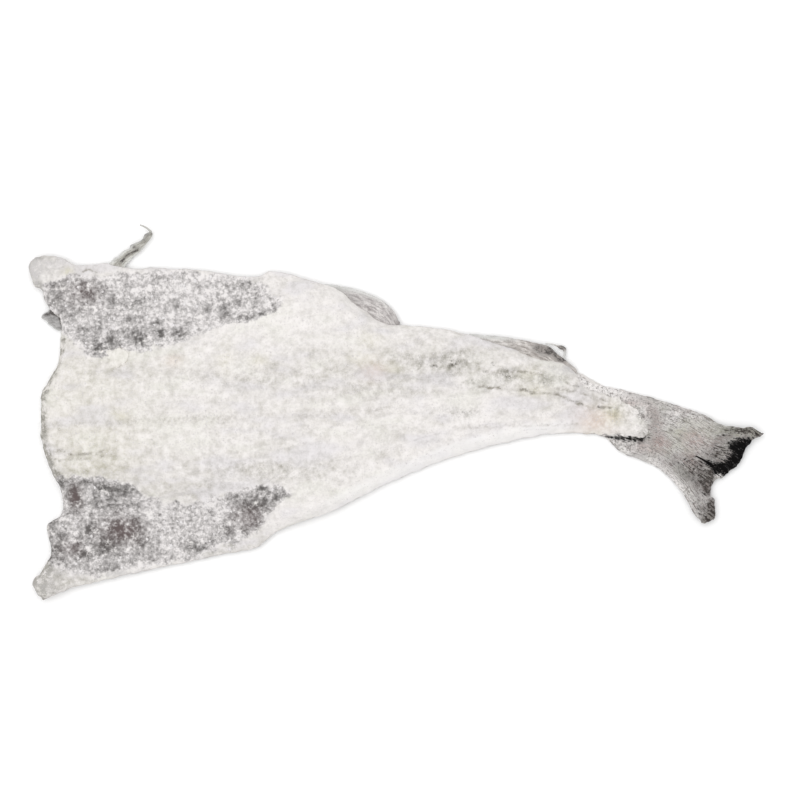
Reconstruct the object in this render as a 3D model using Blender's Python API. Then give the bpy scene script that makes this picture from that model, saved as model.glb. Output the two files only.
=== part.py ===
"""Salted dried cod: a whole headless cod, split along the belly, opened flat, salted and dried.

The fish lies on its skin with the flesh up. +X runs from the cut neck to the tail, +Y to the edge that
carries the anal fins, and +Z up. The origin is the bottom centre of the whole fish.

Outlines are given as landmarks, in shares of the fish's length (from the neck) and of its breadth (from
its lower side), and thicknesses in shares of the loin's height, so that three driving dimensions size
the whole fish.
"""

import math

import bmesh
import bpy
from mathutils import Vector, kdtree

# ---- driving dimensions, in metres ------------------------------------------------------------------
LENGTH = 0.664  # neck lugs to the tip of the tail fin
BREADTH = 0.342  # lower neck lug to the tip of the pelvic fin
LOIN_HEIGHT = 0.029  # the thickest part of the back muscles

# ---- thicknesses, in shares of the loin's height ----------------------------------------------------
CROWN = [(0.0, 0.80), (0.16, 1.0), (0.45, 0.88), (0.72, 0.62), (0.90, 0.42), (1.0, 0.34)]
SHOULDER = 0.80  # the back muscles at their outer borders, as a share of their crown
BACKBONE_GROOVE = 0.14  # depth of the trench that the backbone left between the two muscles
FLAP = 0.21  # belly wall
LUG = 0.30  # hard flesh left round the collar bone, on top of the flap at both neck corners
BODY_RIM = 0.12  # skin and dried flesh at the very edge
TAIL_PROFILE = [(0.0, 0.30), (0.25, 0.42), (0.45, 0.36), (0.68, 0.20), (1.0, 0.11)]
ANAL_FIN = 0.09
PELVIC_FIN = 0.10
LINING_TAG = 0.13
FIN_RIM = 0.05

# ---- where the back muscles meet the belly flaps, as shares across the body, along its length --------
LOWER_BORDER = [(0.0, 0.30), (0.20, 0.25), (0.38, 0.06), (0.46, -0.20)]
UPPER_BORDER = [(0.0, 0.70), (0.20, 0.76), (0.38, 0.92), (0.46, 1.20)]
BORDER_SLOPE = 0.09  # half the width of the slope from muscle to flap
GROOVE_WIDTH = 0.055

# ---- edges and curl, in metres ----------------------------------------------------------------------
LOIN_ROUNDING = 0.020  # how far in from its edge the thick flesh is still rounding over
FLAP_ROUNDING = 0.007
TAIL_ROUNDING = 0.016
FIN_ROUNDING = 0.004
EDGE_LIFT = 0.0040  # how far the skin curls up at its edges
SOLE_SHARE = 0.52  # the middle share of the skin that lies flat on the surface
TAIL_GAP = 0.0006  # the thin stalk is held just clear of the surface by the body
TAIL_CURL = 0.0050
ANAL_FIN_LEVEL = 0.0018
PELVIC_LEVEL = 0.0020
PELVIC_RISE = 0.0040
TAG_LEVEL = 0.0020

# ---- fineness of the meshes -------------------------------------------------------------------------
LINE_SAMPLES = 24  # samples in each span of an outline
EDGE_SAMPLES = 400  # samples along a whole edge, for distances from it
CELLS = {"body": (46, 30), "tail": (20, 16), "anal_fin": (10, 3), "pelvic_fin": (20, 2), "tag": (4, 4)}

# ---- landmarks of the outline -----------------------------------------------------------------------
LOWER_EDGE = [  # lower neck lug, belly flap, step at the vent, tail muscle, ragged tip of the flesh
    (0.021, 0.001), (0.059, 0.034), (0.120, 0.062), (0.176, 0.087), (0.263, 0.122), (0.311, 0.142),
    (0.339, 0.184), (0.376, 0.213), (0.412, 0.237), (0.507, 0.326), (0.602, 0.395), (0.717, 0.443),
    (0.785, 0.436), (0.820, 0.436), (0.845, 0.441),
]  # fmt: skip
UPPER_EDGE = [  # upper neck lug, throat, belly flap, lobe at the vent, roots of the two anal fins, tip
    (0.012, 0.907), (0.026, 0.913), (0.037, 0.910), (0.051, 0.901), (0.061, 0.892), (0.075, 0.886),
    (0.091, 0.890), (0.110, 0.892), (0.128, 0.883), (0.156, 0.878), (0.174, 0.880), (0.235, 0.874),
    (0.305, 0.855), (0.334, 0.871), (0.387, 0.845), (0.420, 0.824), (0.440, 0.793), (0.464, 0.758),
    (0.482, 0.736), (0.507, 0.728), (0.575, 0.716), (0.663, 0.663), (0.690, 0.642), (0.704, 0.637),
    (0.724, 0.632), (0.745, 0.607), (0.805, 0.543), (0.846, 0.457),
]  # fmt: skip
NECK_EDGE = [  # lower lug, notch, cut ends of the two loins bulging out, notch, upper lug
    (0.021, 0.001), (0.007, 0.044), (0.018, 0.076), (0.031, 0.125), (0.027, 0.200), (0.046, 0.230),
    (0.0455, 0.290), (0.030, 0.352), (0.021, 0.409), (0.018, 0.457), (0.018, 0.530), (0.024, 0.570),
    (0.041, 0.628), (0.045, 0.700), (0.046, 0.725), (0.043, 0.746), (0.036, 0.759), (0.030, 0.774),
    (0.024, 0.790), (0.020, 0.822), (0.009, 0.832), (0.005, 0.855), (0.002, 0.884), (0.012, 0.907),
]  # fmt: skip
TAIL_UPPER = [
    (0.715, 0.600), (0.742, 0.603), (0.751, 0.596), (0.760, 0.584), (0.770, 0.575), (0.820, 0.552),
    (0.872, 0.523), (0.914, 0.495), (0.943, 0.466), (0.968, 0.459), (0.984, 0.459), (1.000, 0.440),
]  # fmt: skip
TAIL_LOWER = [
    (0.715, 0.480), (0.762, 0.446), (0.787, 0.418), (0.806, 0.394), (0.832, 0.373), (0.860, 0.347),
    (0.887, 0.293), (0.905, 0.233), (0.920, 0.204),
]  # fmt: skip
TAIL_END = [  # trailing edge of the tail fin, with the torn notch between its lobes
    (0.920, 0.204), (0.934, 0.222), (0.932, 0.262), (0.927, 0.292), (0.934, 0.318), (0.950, 0.336),
    (0.967, 0.368), (0.975, 0.398), (0.983, 0.424), (1.000, 0.440),
]  # fmt: skip
ANAL_FINS = {  # outer edge of each fin; its root runs straight below the flesh
    "first_anal_fin": [(0.378, 0.842), (0.431, 0.830), (0.473, 0.807), (0.498, 0.775), (0.509, 0.735)],
    "second_anal_fin": [(0.600, 0.707), (0.663, 0.695), (0.706, 0.680), (0.731, 0.668), (0.746, 0.607)],
}
FIN_ROOT = (-0.009, -0.058)  # from the outer edge to the root under the flesh
PELVIC_PATH = [  # root at the throat, blade, and the hook of the loose ray at its tip
    (0.098, 0.866), (0.118, 0.890), (0.140, 0.920), (0.149, 0.936), (0.158, 0.950), (0.164, 0.965),
    (0.168, 0.975), (0.161, 0.986), (0.153, 0.995),
]  # fmt: skip
PELVIC_WIDTHS = [  # share of that path, width in metres
    (0.0, 0.0105), (0.35, 0.0118), (0.50, 0.0106), (0.62, 0.0068), (0.72, 0.0052), (0.80, 0.0026),
    (1.0, 0.0018),
]  # fmt: skip
TAG_EDGES = [  # the shred of belly lining that hangs out of the neck: lower, upper, root and loose end
    [(0.060, 0.708), (0.0465, 0.7155), (0.041, 0.717), (0.032, 0.7276)],
    [(0.060, 0.778), (0.036, 0.783), (0.031, 0.776), (0.026, 0.766)],
    [(0.060, 0.708), (0.060, 0.778)],
    [(0.032, 0.7276), (0.026, 0.739), (0.0183, 0.7495), (0.022, 0.760), (0.026, 0.766)],
]

FLESH_COLOUR = (0.76, 0.74, 0.69, 1.0)
FLESH_ROUGHNESS = 0.85


# ---- numbers ----------------------------------------------------------------------------------------
def ramp(value, start, end):
    """0 before start, 1 after end, and a smooth step between them."""
    share = min(max((value - start) / (end - start), 0.0), 1.0)
    return share * share * (3.0 - 2.0 * share)


def hump(value, centre, width):
    """A bell of height 1 round centre."""
    return math.exp(-(((value - centre) / width) ** 2))


def between(value, table):
    """Reads a value off a table of (place, value) pairs, smoothly."""
    for (start, low), (end, high) in zip(table, table[1:]):
        if value <= end:
            return low + (high - low) * ramp(value, start, end)
    return table[-1][1]


def crowded(share, ease=0.55):
    """Moves an even share of 0 to 1 nearer to its closer end, so that rows gather at the edges."""
    return share - ease * math.sin(2.0 * math.pi * share) / (2.0 * math.pi)


def rounded(distance, reach, rim, full):
    """The rim's value at an edge and the full value from reach inwards, along a quarter ellipse."""
    share = min(distance / reach, 1.0)
    return rim + (full - rim) * math.sqrt(1.0 - (1.0 - share) ** 2)


# ---- outlines ---------------------------------------------------------------------------------------
def placed(landmark):
    """A landmark in shares of the fish's length and breadth, as a point in metres."""
    along, across = landmark
    return Vector(((along - 0.5) * LENGTH, (across - 0.5) * BREADTH))


def smooth_samples(points):
    """Points along a Catmull-Rom curve that passes through the given points."""
    ends = [2 * points[0] - points[1], *points, 2 * points[-1] - points[-2]]
    samples = []
    for before, start, end, after in zip(ends, ends[1:], ends[2:], ends[3:]):
        for step in range(LINE_SAMPLES):
            u = step / LINE_SAMPLES
            linear = (end - before) * u
            square = (2 * before - 5 * start + 4 * end - after) * u**2
            cube = (3 * start - before - 3 * end + after) * u**3
            samples.append(0.5 * (2 * start + linear + square + cube))
    return samples + [points[-1]]


def smooth_line(landmarks):
    """A function from a share of the line's length to the point there."""
    samples = smooth_samples([placed(landmark) for landmark in landmarks])
    lengths = [0.0]
    for start, end in zip(samples, samples[1:]):
        lengths.append(lengths[-1] + (end - start).length)

    def point_at(share):
        goal = share * lengths[-1]
        index = 1
        while index < len(lengths) - 1 and lengths[index] < goal:
            index += 1
        span = lengths[index] - lengths[index - 1]
        return samples[index - 1].lerp(samples[index], (goal - lengths[index - 1]) / span)

    return point_at


def straight_line(start, end):
    return lambda share: start.lerp(end, share)


def patch_point(edges, s, t):
    """A point inside four edges that share their corners (a Coons patch)."""
    lower, upper, near, far = edges
    along = lower(s).lerp(upper(s), t)
    across = near(t).lerp(far(t), s)
    corners = lower(0.0).lerp(lower(1.0), s).lerp(upper(0.0).lerp(upper(1.0), s), t)
    return along + across - corners


def edge_finder(edges):
    """A function from a point to its distance from the nearest edge."""
    points = [edge(step / EDGE_SAMPLES) for edge in edges for step in range(EDGE_SAMPLES + 1)]
    tree = kdtree.KDTree(len(points))
    for index, point in enumerate(points):
        tree.insert(point.to_3d(), index)
    tree.balance()
    return lambda point: tree.find(point.to_3d())[2]


# ---- a sheet of flesh or fin ------------------------------------------------------------------------
def slab(name, edges, cells, heights, rounded_edges=None):
    """A closed sheet inside four edges.

    heights gives the levels of its underside and its top from s (0 to 1 along it), t (0 to 1 across it)
    and the distance from the nearest of its rounded edges, which are all four unless they are given.
    """
    bm = bmesh.new()
    bmesh.ops.create_grid(bm, x_segments=cells[0], y_segments=cells[1], size=0.5)
    s_layer = bm.verts.layers.float.new("s")
    t_layer = bm.verts.layers.float.new("t")
    for vert in bm.verts:
        vert[s_layer] = crowded(vert.co.x + 0.5)
        vert[t_layer] = crowded(vert.co.y + 0.5)
        vert.co = patch_point(edges, vert[s_layer], vert[t_layer]).to_3d()
    raised = bmesh.ops.extrude_face_region(bm, geom=bm.faces[:])["geom"]
    tops = {item for item in raised if isinstance(item, bmesh.types.BMVert)}
    distance_at = edge_finder(rounded_edges or edges)
    for vert in bm.verts:
        underside, top = heights(vert[s_layer], vert[t_layer], distance_at(vert.co.xy))
        vert.co.z = top if vert in tops else underside
    bmesh.ops.recalc_face_normals(bm, faces=bm.faces[:])
    mesh = bpy.data.meshes.new(name)
    bm.to_mesh(mesh)
    bm.free()
    mesh.shade_smooth()
    return bpy.data.objects.new(name, mesh)


# ---- the body: two back muscles between two belly flaps ----------------------------------------------
def muscle_share(s, t):
    """1 on the back muscles and 0 on the thin belly flaps beside them, which end at the vent."""
    lower = between(s, LOWER_BORDER)
    upper = between(s, UPPER_BORDER)
    above_lower = ramp(t, lower - BORDER_SLOPE, lower + BORDER_SLOPE)
    below_upper = 1.0 - ramp(t, upper - BORDER_SLOPE, upper + BORDER_SLOPE)
    return above_lower * below_upper


def muscle_thickness(s, t):
    """Highest along the middle of each side of the groove, and lower towards the tail."""
    arch = SHOULDER + (1.0 - SHOULDER) * math.sqrt(max(math.sin(math.pi * t), 0.0))
    groove = BACKBONE_GROOVE * hump(t, 0.5, GROOVE_WIDTH) * (1.0 - ramp(s, 0.86, 1.0))
    return between(s, CROWN) * (arch - groove)


def flap_thickness(s, t):
    """Thin, but for the lugs at both neck corners."""
    off_centre = abs(2.0 * t - 1.0)
    return FLAP + LUG * (1.0 - ramp(s, 0.02, 0.09)) * ramp(off_centre, 0.72, 1.0)


def body_heights(s, t, distance):
    off_centre = abs(2.0 * t - 1.0)
    curl = ramp(off_centre, SOLE_SHARE, 1.0) * (1.0 - 0.5 * ramp(s, 0.3, 0.7))
    ripple = 0.8 + 0.2 * math.sin(17.0 * s + 2.0 * t)
    neck = 0.35 * (1.0 - ramp(s, 0.0, 0.05))
    underside = EDGE_LIFT * (curl * ripple + neck)
    share = muscle_share(s, t)
    flap = flap_thickness(s, t)
    full = flap + (muscle_thickness(s, t) - flap) * share
    reach = FLAP_ROUNDING + (LOIN_ROUNDING - FLAP_ROUNDING) * share
    return underside, underside + LOIN_HEIGHT * rounded(distance, reach, BODY_RIM, full)


def make_body():
    lower, upper, neck = (smooth_line(line) for line in (LOWER_EDGE, UPPER_EDGE, NECK_EDGE))
    tip = straight_line(lower(1.0), upper(1.0))
    return slab("cod", [lower, upper, neck, tip], CELLS["body"], body_heights)


# ---- the tail stalk and fin, in one sheet that runs under the tip of the flesh -----------------------
def tail_heights(s, t, distance):
    """The stalk nearly rests on the surface and the dried fin curls up towards its tips."""
    lobes = abs(2.0 * t - 1.0)
    underside = TAIL_GAP + TAIL_CURL * ramp(s, 0.55, 1.0) * (0.35 + 0.65 * lobes)
    reach = TAIL_ROUNDING + (FIN_ROUNDING - TAIL_ROUNDING) * ramp(s, 0.4, 0.8)
    return underside, underside + LOIN_HEIGHT * rounded(distance, reach, FIN_RIM, between(s, TAIL_PROFILE))


def make_tail():
    lower, upper, end = (smooth_line(line) for line in (TAIL_LOWER, TAIL_UPPER, TAIL_END))
    root = straight_line(lower(0.0), upper(0.0))
    return slab("tail", [lower, upper, root, end], CELLS["tail"], tail_heights, [lower, upper, end])


# ---- the smaller fins and the shred of lining --------------------------------------------------------
def anal_fin_heights(s, t, distance):
    underside = ANAL_FIN_LEVEL * (1.0 + t)
    full = ANAL_FIN * (1.0 - 0.35 * t)
    return underside, underside + LOIN_HEIGHT * rounded(distance, FIN_ROUNDING, FIN_RIM, full)


def make_anal_fin(name, landmarks):
    """The fin's root lies under the flesh, parallel to its outer edge."""
    outer = smooth_line(landmarks)
    inset = Vector((FIN_ROOT[0] * LENGTH, FIN_ROOT[1] * BREADTH))
    root = straight_line(outer(0.0) + inset, outer(1.0) + inset)
    front = straight_line(root(0.0), outer(0.0))
    back = straight_line(root(1.0), outer(1.0))
    return slab(name, [root, outer, front, back], CELLS["anal_fin"], anal_fin_heights, [outer, back])


def pelvic_fin_heights(s, t, distance):
    underside = PELVIC_LEVEL + PELVIC_RISE * ramp(s, 0.1, 1.0)
    full = PELVIC_FIN * (1.0 - 0.45 * s)
    return underside, underside + LOIN_HEIGHT * rounded(distance, FIN_ROUNDING, FIN_RIM, full)


def beside(path, sign):
    """The left (1) or right (-1) edge of a blade whose width varies along a path."""

    def point_at(share):
        reach = 0.01
        ahead = path(min(share + reach, 1.0)) - path(max(share - reach, 0.0))
        across = Vector((-ahead.y, ahead.x)).normalized()
        return path(share) + across * (sign * 0.5 * between(share, PELVIC_WIDTHS))

    return point_at


def make_pelvic_fin():
    """A flat blade of rays along a path, narrowing to one hooked ray."""
    path = smooth_line(PELVIC_PATH)
    right, left = beside(path, -1), beside(path, 1)
    root = straight_line(right(0.0), left(0.0))
    tip = straight_line(right(1.0), left(1.0))
    return slab("pelvic_fin", [right, left, root, tip], CELLS["pelvic_fin"], pelvic_fin_heights)


def tag_heights(s, t, distance):
    underside = TAG_LEVEL + 0.001 * s
    return underside, underside + LOIN_HEIGHT * rounded(distance, FIN_ROUNDING, FIN_RIM, LINING_TAG)


def make_tag():
    return slab("lining_tag", [smooth_line(edge) for edge in TAG_EDGES], CELLS["tag"], tag_heights)


# ---- the whole fish ---------------------------------------------------------------------------------
def dried_flesh():
    material = bpy.data.materials.new("dried_flesh")
    material.use_nodes = True
    shader = material.node_tree.nodes["Principled BSDF"]
    shader.inputs["Base Color"].default_value = FLESH_COLOUR
    shader.inputs["Roughness"].default_value = FLESH_ROUGHNESS
    shader.inputs["Metallic"].default_value = 0.0
    return material


def main():
    for old in list(bpy.data.objects):
        bpy.data.objects.remove(old)
    parts = bpy.data.collections.new("salted_dried_cod")
    joined = bpy.data.collections.new("joined_into_the_cod")
    for collection in (parts, joined):
        bpy.context.scene.collection.children.link(collection)

    cod = make_body()
    cod.data.materials.append(dried_flesh())
    parts.objects.link(cod)
    grown_on = [make_tail(), make_pelvic_fin(), make_tag()]
    grown_on += [make_anal_fin(name, landmarks) for name, landmarks in ANAL_FINS.items()]
    for piece in grown_on:
        joined.objects.link(piece)
        piece.hide_render = True
        piece.display_type = "WIRE"
        join = cod.modifiers.new(f"join_{piece.name}", "BOOLEAN")
        join.operation = "UNION"
        join.object = piece


main()
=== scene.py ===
"""Salted dried cod: the looks of a headless cod, split along the belly, opened flat, salted and dried.

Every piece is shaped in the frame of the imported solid: +X from the cut neck to the tail, +Y to the edge
that carries the anal fins, +Z up. Lines and spots are placed in thousandths of the solid's length, from
the neck, and of its breadth, from its lower side.
"""

import math

import bmesh
import bpy
import numpy as np
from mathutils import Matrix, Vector, kdtree, noise


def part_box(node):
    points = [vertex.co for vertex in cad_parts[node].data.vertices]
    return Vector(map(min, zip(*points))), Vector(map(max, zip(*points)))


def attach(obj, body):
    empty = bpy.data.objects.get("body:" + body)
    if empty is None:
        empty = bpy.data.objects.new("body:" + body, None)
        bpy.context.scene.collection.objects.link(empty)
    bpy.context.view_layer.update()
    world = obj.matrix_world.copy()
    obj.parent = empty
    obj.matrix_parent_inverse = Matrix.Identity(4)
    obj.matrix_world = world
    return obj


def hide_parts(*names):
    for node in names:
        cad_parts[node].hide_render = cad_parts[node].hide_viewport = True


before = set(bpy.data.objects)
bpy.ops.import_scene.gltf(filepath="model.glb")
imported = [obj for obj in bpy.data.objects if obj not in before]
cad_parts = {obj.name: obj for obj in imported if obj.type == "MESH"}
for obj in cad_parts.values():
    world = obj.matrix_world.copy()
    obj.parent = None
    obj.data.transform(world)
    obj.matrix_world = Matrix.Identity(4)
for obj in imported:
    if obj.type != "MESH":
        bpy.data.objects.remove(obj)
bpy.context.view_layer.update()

bl_info = {
    "name": "Salted Dried Cod",
    "version": (1, 0, 0),
    "blender": (4, 5, 0),
    "location": "View3D > Sidebar > Salted Cod",
    "description": "Builds a split, salted and dried cod piece by piece",
    "category": "Add Mesh",
}

BODY = "root"
SOLID = "cod"
LOW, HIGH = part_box(SOLID)
LENGTH, BREADTH, HEIGHT = HIGH - LOW
TURN = 2.0 * math.pi
LEAST = 0.0003  # the thinnest that a fin gets, in metres
GRAIN_SEED = 1  # without a seed, noise_vector() differs from run to run

# ---- outlines, in thousandths of the fish's length and breadth ----
LOWER_EDGE = [  # lower neck lug, belly flap, step at the vent, tail muscle, tip of the flesh
    (21, 1), (59, 34), (120, 62), (176, 87), (263, 122), (311, 142), (339, 184), (376, 213), (412, 237),
    (507, 326), (602, 395), (717, 443), (785, 436), (820, 436), (845, 441),
]
UPPER_EDGE = [  # upper neck lug, belly flap, lobe at the vent, roots of the two anal fins, tip
    (12, 907), (26, 913), (37, 910), (51, 901), (61, 892), (75, 886), (91, 890), (110, 892), (128, 883),
    (156, 878), (174, 880), (235, 874), (305, 855), (334, 871), (387, 845), (420, 824), (440, 793),
    (464, 758), (482, 736), (507, 728), (575, 716), (663, 663), (690, 642), (704, 637), (724, 632),
    (745, 607), (805, 543), (846, 457),
]
FLESH_TONGUE = [  # where the flesh leaves the upper edge and runs out over the tail
    (745, 604), (752, 575), (768, 555), (785, 545), (808, 532), (828, 502), (842, 456),
]
NECK_EDGE = [  # lower lug, notch, cut ends of the two loins, notch, upper lug
    (21, 1), (7, 44), (18, 76), (31, 125), (27, 200), (46, 230), (45.5, 290), (30, 352), (21, 409),
    (18, 457), (18, 530), (24, 570), (41, 628), (45, 700), (46, 725), (43, 746), (36, 759), (30, 774),
    (24, 790), (20, 822), (9, 832), (5, 855), (2, 884), (12, 907),
]
TAIL_UPPER = [  # from under the flesh, along the strip of bare skin beside it
    (715, 600), (742, 603), (751, 596), (760, 584), (770, 575), (820, 552), (872, 523), (914, 495),
    (943, 466), (968, 459), (984, 459), (1000, 440),
]
TAIL_LOWER = [
    (715, 451), (750, 444), (783, 433), (806, 394), (832, 373), (860, 347), (887, 293), (905, 233),
    (920, 204),
]
TAIL_END = [  # trailing edge of the tail fin, with the torn notch between its lobes
    (920, 204), (934, 222), (932, 262), (927, 292), (934, 318), (950, 336), (967, 368), (975, 398),
    (983, 424), (1000, 440),
]
FIRST_FIN = [(378, 842), (431, 830), (472, 805), (495.5, 770), (505.5, 735)]  # outer edges of the anal fins
SECOND_FIN = [(600, 707), (649, 697), (703, 676), (720, 652), (746.5, 611)]
FIN_ROOT = (-9, -58)  # from a fin's outer edge to its root under the flesh
TORN_LOOP = [
    (704, 680), (713, 678.5), (723.5, 671), (728.5, 667.2), (729.8, 662.5), (729.8, 653), (727.5, 637),
]
PELVIC_EDGES = [  # near side, far side, root and tip of the fin's blade
    [(131, 880), (139, 901), (147, 914), (155, 927), (160, 941), (165, 952), (169.5, 963)],
    [
        (105, 880), (117, 904), (123, 912), (130, 924), (138, 932), (141, 941), (150, 949), (156, 956),
        (159.5, 969), (165.5, 976),
    ],
    [(131, 880), (105, 880)],
    [(169.5, 963), (170, 971), (165.5, 976)],
]
LOOSE_RAY = [(165, 968), (167.5, 975), (166, 979), (162, 985.5), (158, 989.5), (152.5, 993.5)]
PELVIC_SLIT = [(128, 898), (134, 912), (143, 922), (149, 926)]
SHRED_EDGES = [  # lower, upper, root and loose end of the shred of lining that hangs out of the neck
    [(60, 708), (46.5, 715.5), (41, 717), (32, 727.6)],
    [(50, 778), (36, 783), (31, 776), (26, 766)],
    [(60, 708), (60, 745), (50, 778)],
    [(32, 727.6), (26, 739), (18.3, 749.5), (22, 760), (26, 766)],
]
FLAKE_EDGES = [  # the torn cream flake by the upper lining
    [(96, 620), (113, 614), (132, 617)],
    [(99, 652), (113, 661), (128, 664), (140, 656)],
    [(96, 620), (94, 638), (99, 652)],
    [(132, 617), (138, 638), (140, 656)],
]
UPPER_LINING = [
    (22, 848), (48, 858), (73, 862), (100, 858), (124, 870), (154, 872), (195, 878), (235, 870),
    (283, 859), (314, 841), (341, 807), (347, 786), (328, 751), (283, 728), (242, 708), (208, 680),
    (168, 666), (143, 658), (124, 660), (100, 636), (83, 642), (66, 675), (48, 701), (43, 741), (24, 770),
    (14, 807),
]
LOWER_LINING = [
    (37, 335), (66, 334), (100, 331), (134, 314), (161, 288), (188, 267), (222, 262), (256, 276),
    (285, 296), (315, 308), (348, 308), (360, 284), (341, 254), (332, 230), (321, 200), (305, 176),
    (286, 158), (262, 138), (240, 120), (215, 104), (188, 94), (154, 82), (120, 75), (93, 58), (60, 75),
    (30, 90), (14, 125), (24, 190), (38, 254),
]
TAIL_BLACK = [
    (979, 430), (967, 427), (958, 417), (953, 405), (958, 394), (954, 382), (948, 370), (939, 365),
    (931, 362), (925, 368), (925, 362), (932, 352), (936, 340), (941, 337), (949, 333), (960, 345),
    (970, 358), (982, 376), (990, 404), (990, 423),
]
TAIL_CRACK = [(908, 383), (916, 375), (924, 366), (932, 352), (934.5, 339)]
TONGUE_GAP_SHADOW = [  # the gap beside the flesh that runs out over the tail: a shallow groove, painted black as the shadow under the flesh's serrated edge
    (786, 434), (800, 431.5), (812, 429), (824, 427.5), (835, 427.5),
]
CREASES = [  # depth and width in millimetres, and the line
    (0.4, 3, [(21, 464), (168, 475), (276, 483), (398, 493), (507, 512)]),
    (1, 1.1, [(629, 606), (648, 603), (662, 605), (678, 606)]),
    (1.4, 1.1, [(613, 567), (640, 562), (656, 560), (690, 551), (720, 545)]),
    (1.3, 1, [(720, 545), (737, 530), (752, 519), (768, 511), (804, 509)]),
    (0.5, 1.1, [(583, 462), (618, 459), (683, 464), (746, 467)]),
    (1.3, 1, [(25, 393), (45, 396), (66, 386), (93, 393), (116, 399)]),
    (1.2, 0.9, [(28, 378), (48, 372), (79, 378), (107, 386), (124, 383)]),
    (1, 0.9, [(46, 453), (66, 462), (85, 470)]),
    (1.8, 1, [(45, 328), (54, 325), (59, 330)]),
    (0.8, 1, [(722, 560), (745, 553), (768, 538), (790, 528)]),
    (0.7, 0.8, [(730, 575), (752, 565), (772, 556), (800, 548)]),
    (1, 0.9, [(76, 872), (83, 874), (94, 868)]),
    (0.7, 0.8, [(640, 618), (655, 606), (680, 606), (700, 600)]),
    (0.8, 1, [(128, 672), (132, 655), (127, 640), (118, 634)]),
]

# ---- spots: place in thousandths, reach along and across in millimetres, strength in hundredths ----
BARE_LINING = [  # where the dark lining is hardly salted, and where it is buried
    (62, 814, 19.8, 14.4, 16.5), (86, 807, 6.3, 7.2, 35), (75, 833, 5.4, 4.5, 25), (47, 793, 6.3, 5.4, 15),
    (104, 822, 4.5, 4.5, 10), (67, 822, 4.5, 2.7, -15), (73, 772, 3.6, 2.7, 22), (116, 793, 3.6, 7.2, 25),
    (132, 859, 3.6, 2.7, 28), (143, 786, 10.8, 4.5, 22), (168, 805, 4.5, 3.6, 15),
    (177, 857, 4.5, 2.7, 20), (212, 859, 4.5, 4.5, 20), (58, 751, 9, 6.3, 16), (97, 730, 4.5, 7.2, 25),
    (78, 717, 5.4, 3.6, 18), (120, 755, 3.6, 4.5, 8), (138, 746, 4.5, 2.7, 20), (159, 751, 3.6, 3.6, 18),
    (176, 735, 3.6, 3.1, 45), (182, 707, 4, 4, 60), (206, 704, 5.4, 4.5, 48), (204, 728, 9, 7.2, 10),
    (155, 688, 4, 4, 40), (146, 704, 10.8, 7.2, 32), (116, 691, 8.1, 8.1, 32), (96, 668, 9, 6.3, 44),
    (203, 780, 5.4, 3.6, 18), (245, 772, 3.6, 8.1, 22), (269, 770, 4.5, 9, 24), (286, 786, 5.4, 3.6, 26),
    (296, 749, 8.1, 2.7, 34), (320, 757, 6.3, 3.6, 32), (336, 780, 3.6, 5.4, 16), (272, 836, 3.6, 2.7, 26),
    (298, 836, 4.5, 3.6, 26), (283, 732, 5.4, 3.6, 30), (307, 793, 6.3, 9, 10), (200, 820, 5.4, 4.5, -15),
    (229, 707, 7.2, 2.7, 10), (111, 762, 5.4, 5.4, 10), (168, 704, 3.6, 2.7, 12), (66, 278, 6.3, 10, 58),
    (79, 315, 4.5, 3.6, 40), (104, 300, 8.1, 6.3, 45), (127, 291, 8.1, 7.2, 34), (139, 299, 4.5, 5.4, 22),
    (94, 259, 6.3, 3.6, 28), (140, 255, 8.1, 2.7, 16), (121, 196, 8.1, 7.2, 46), (147, 215, 4.5, 5.4, 36),
    (142, 175, 11.7, 8.1, 36), (105, 149, 6.3, 8.1, 48), (120, 151, 5.4, 8.1, 24), (85, 191, 7.2, 5.4, 26),
    (73, 254, 4.5, 3.6, 16), (67, 143, 3.6, 7.2, 36), (79, 122, 7.2, 3.6, 48), (40, 133, 7.2, 7.2, 40),
    (47, 170, 3.6, 3.6, 36), (159, 154, 5.4, 3.6, 18), (108, 88, 9, 3.6, 26), (151, 131, 5.4, 4.5, 16),
    (130, 780, 4.5, 4.5, 15), (150, 293, 5.4, 3.6, 20), (79, 172, 4.5, 3.6, 14), (172, 117, 7.2, 4.5, 14),
    (222, 146, 5.4, 5.4, 38), (238, 143, 5.4, 4.5, 32), (253, 162, 5.4, 3.6, 22), (225, 246, 6.3, 4.5, 18),
    (250, 233, 4.5, 4.5, 18), (273, 188, 8.1, 4.5, 40), (279, 222, 9, 4.5, 28), (312, 256, 12.6, 8.1, 48),
    (310, 267, 5.4, 3.6, 8), (292, 249, 4.5, 5.4, 18), (309, 210, 9, 9, 34), (343, 280, 8.1, 4.5, 38),
    (322, 299, 6.3, 3.6, 36), (283, 278, 7.2, 2.7, 22), (286, 172, 3.1, 3.1, -40),
    (116, 128, 5.4, 3.6, 14), (93, 175, 36, 27, 16), (62, 200, 8, 11, -10), (30, 790, 4.5, 7.2, 26),
    (40, 835, 7.2, 4.5, 22), (48, 312, 5.4, 6.3, 36), (33, 198, 3.6, 8.1, 30), (47, 103, 6.3, 4.5, 20),
    (113, 260, 3.6, 8.1, 20), (30, 120, 3.6, 11, 20), (318, 290, 5.4, 3.6, 8), (275, 280, 7.2, 2.7, 4),
    (294, 184, 4.5, 4.5, 30), (276, 162, 7.2, 3.6, 22), (205, 110, 18, 3.6, 15), (151, 191, 5.4, 4.5, 20),
    (190, 270, 7.2, 3.6, 22), (218, 166, 5.4, 4.5, 14), (126, 730, 4.5, 4.5, -14), (262, 241, 9, 7.2, -12),
]
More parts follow.
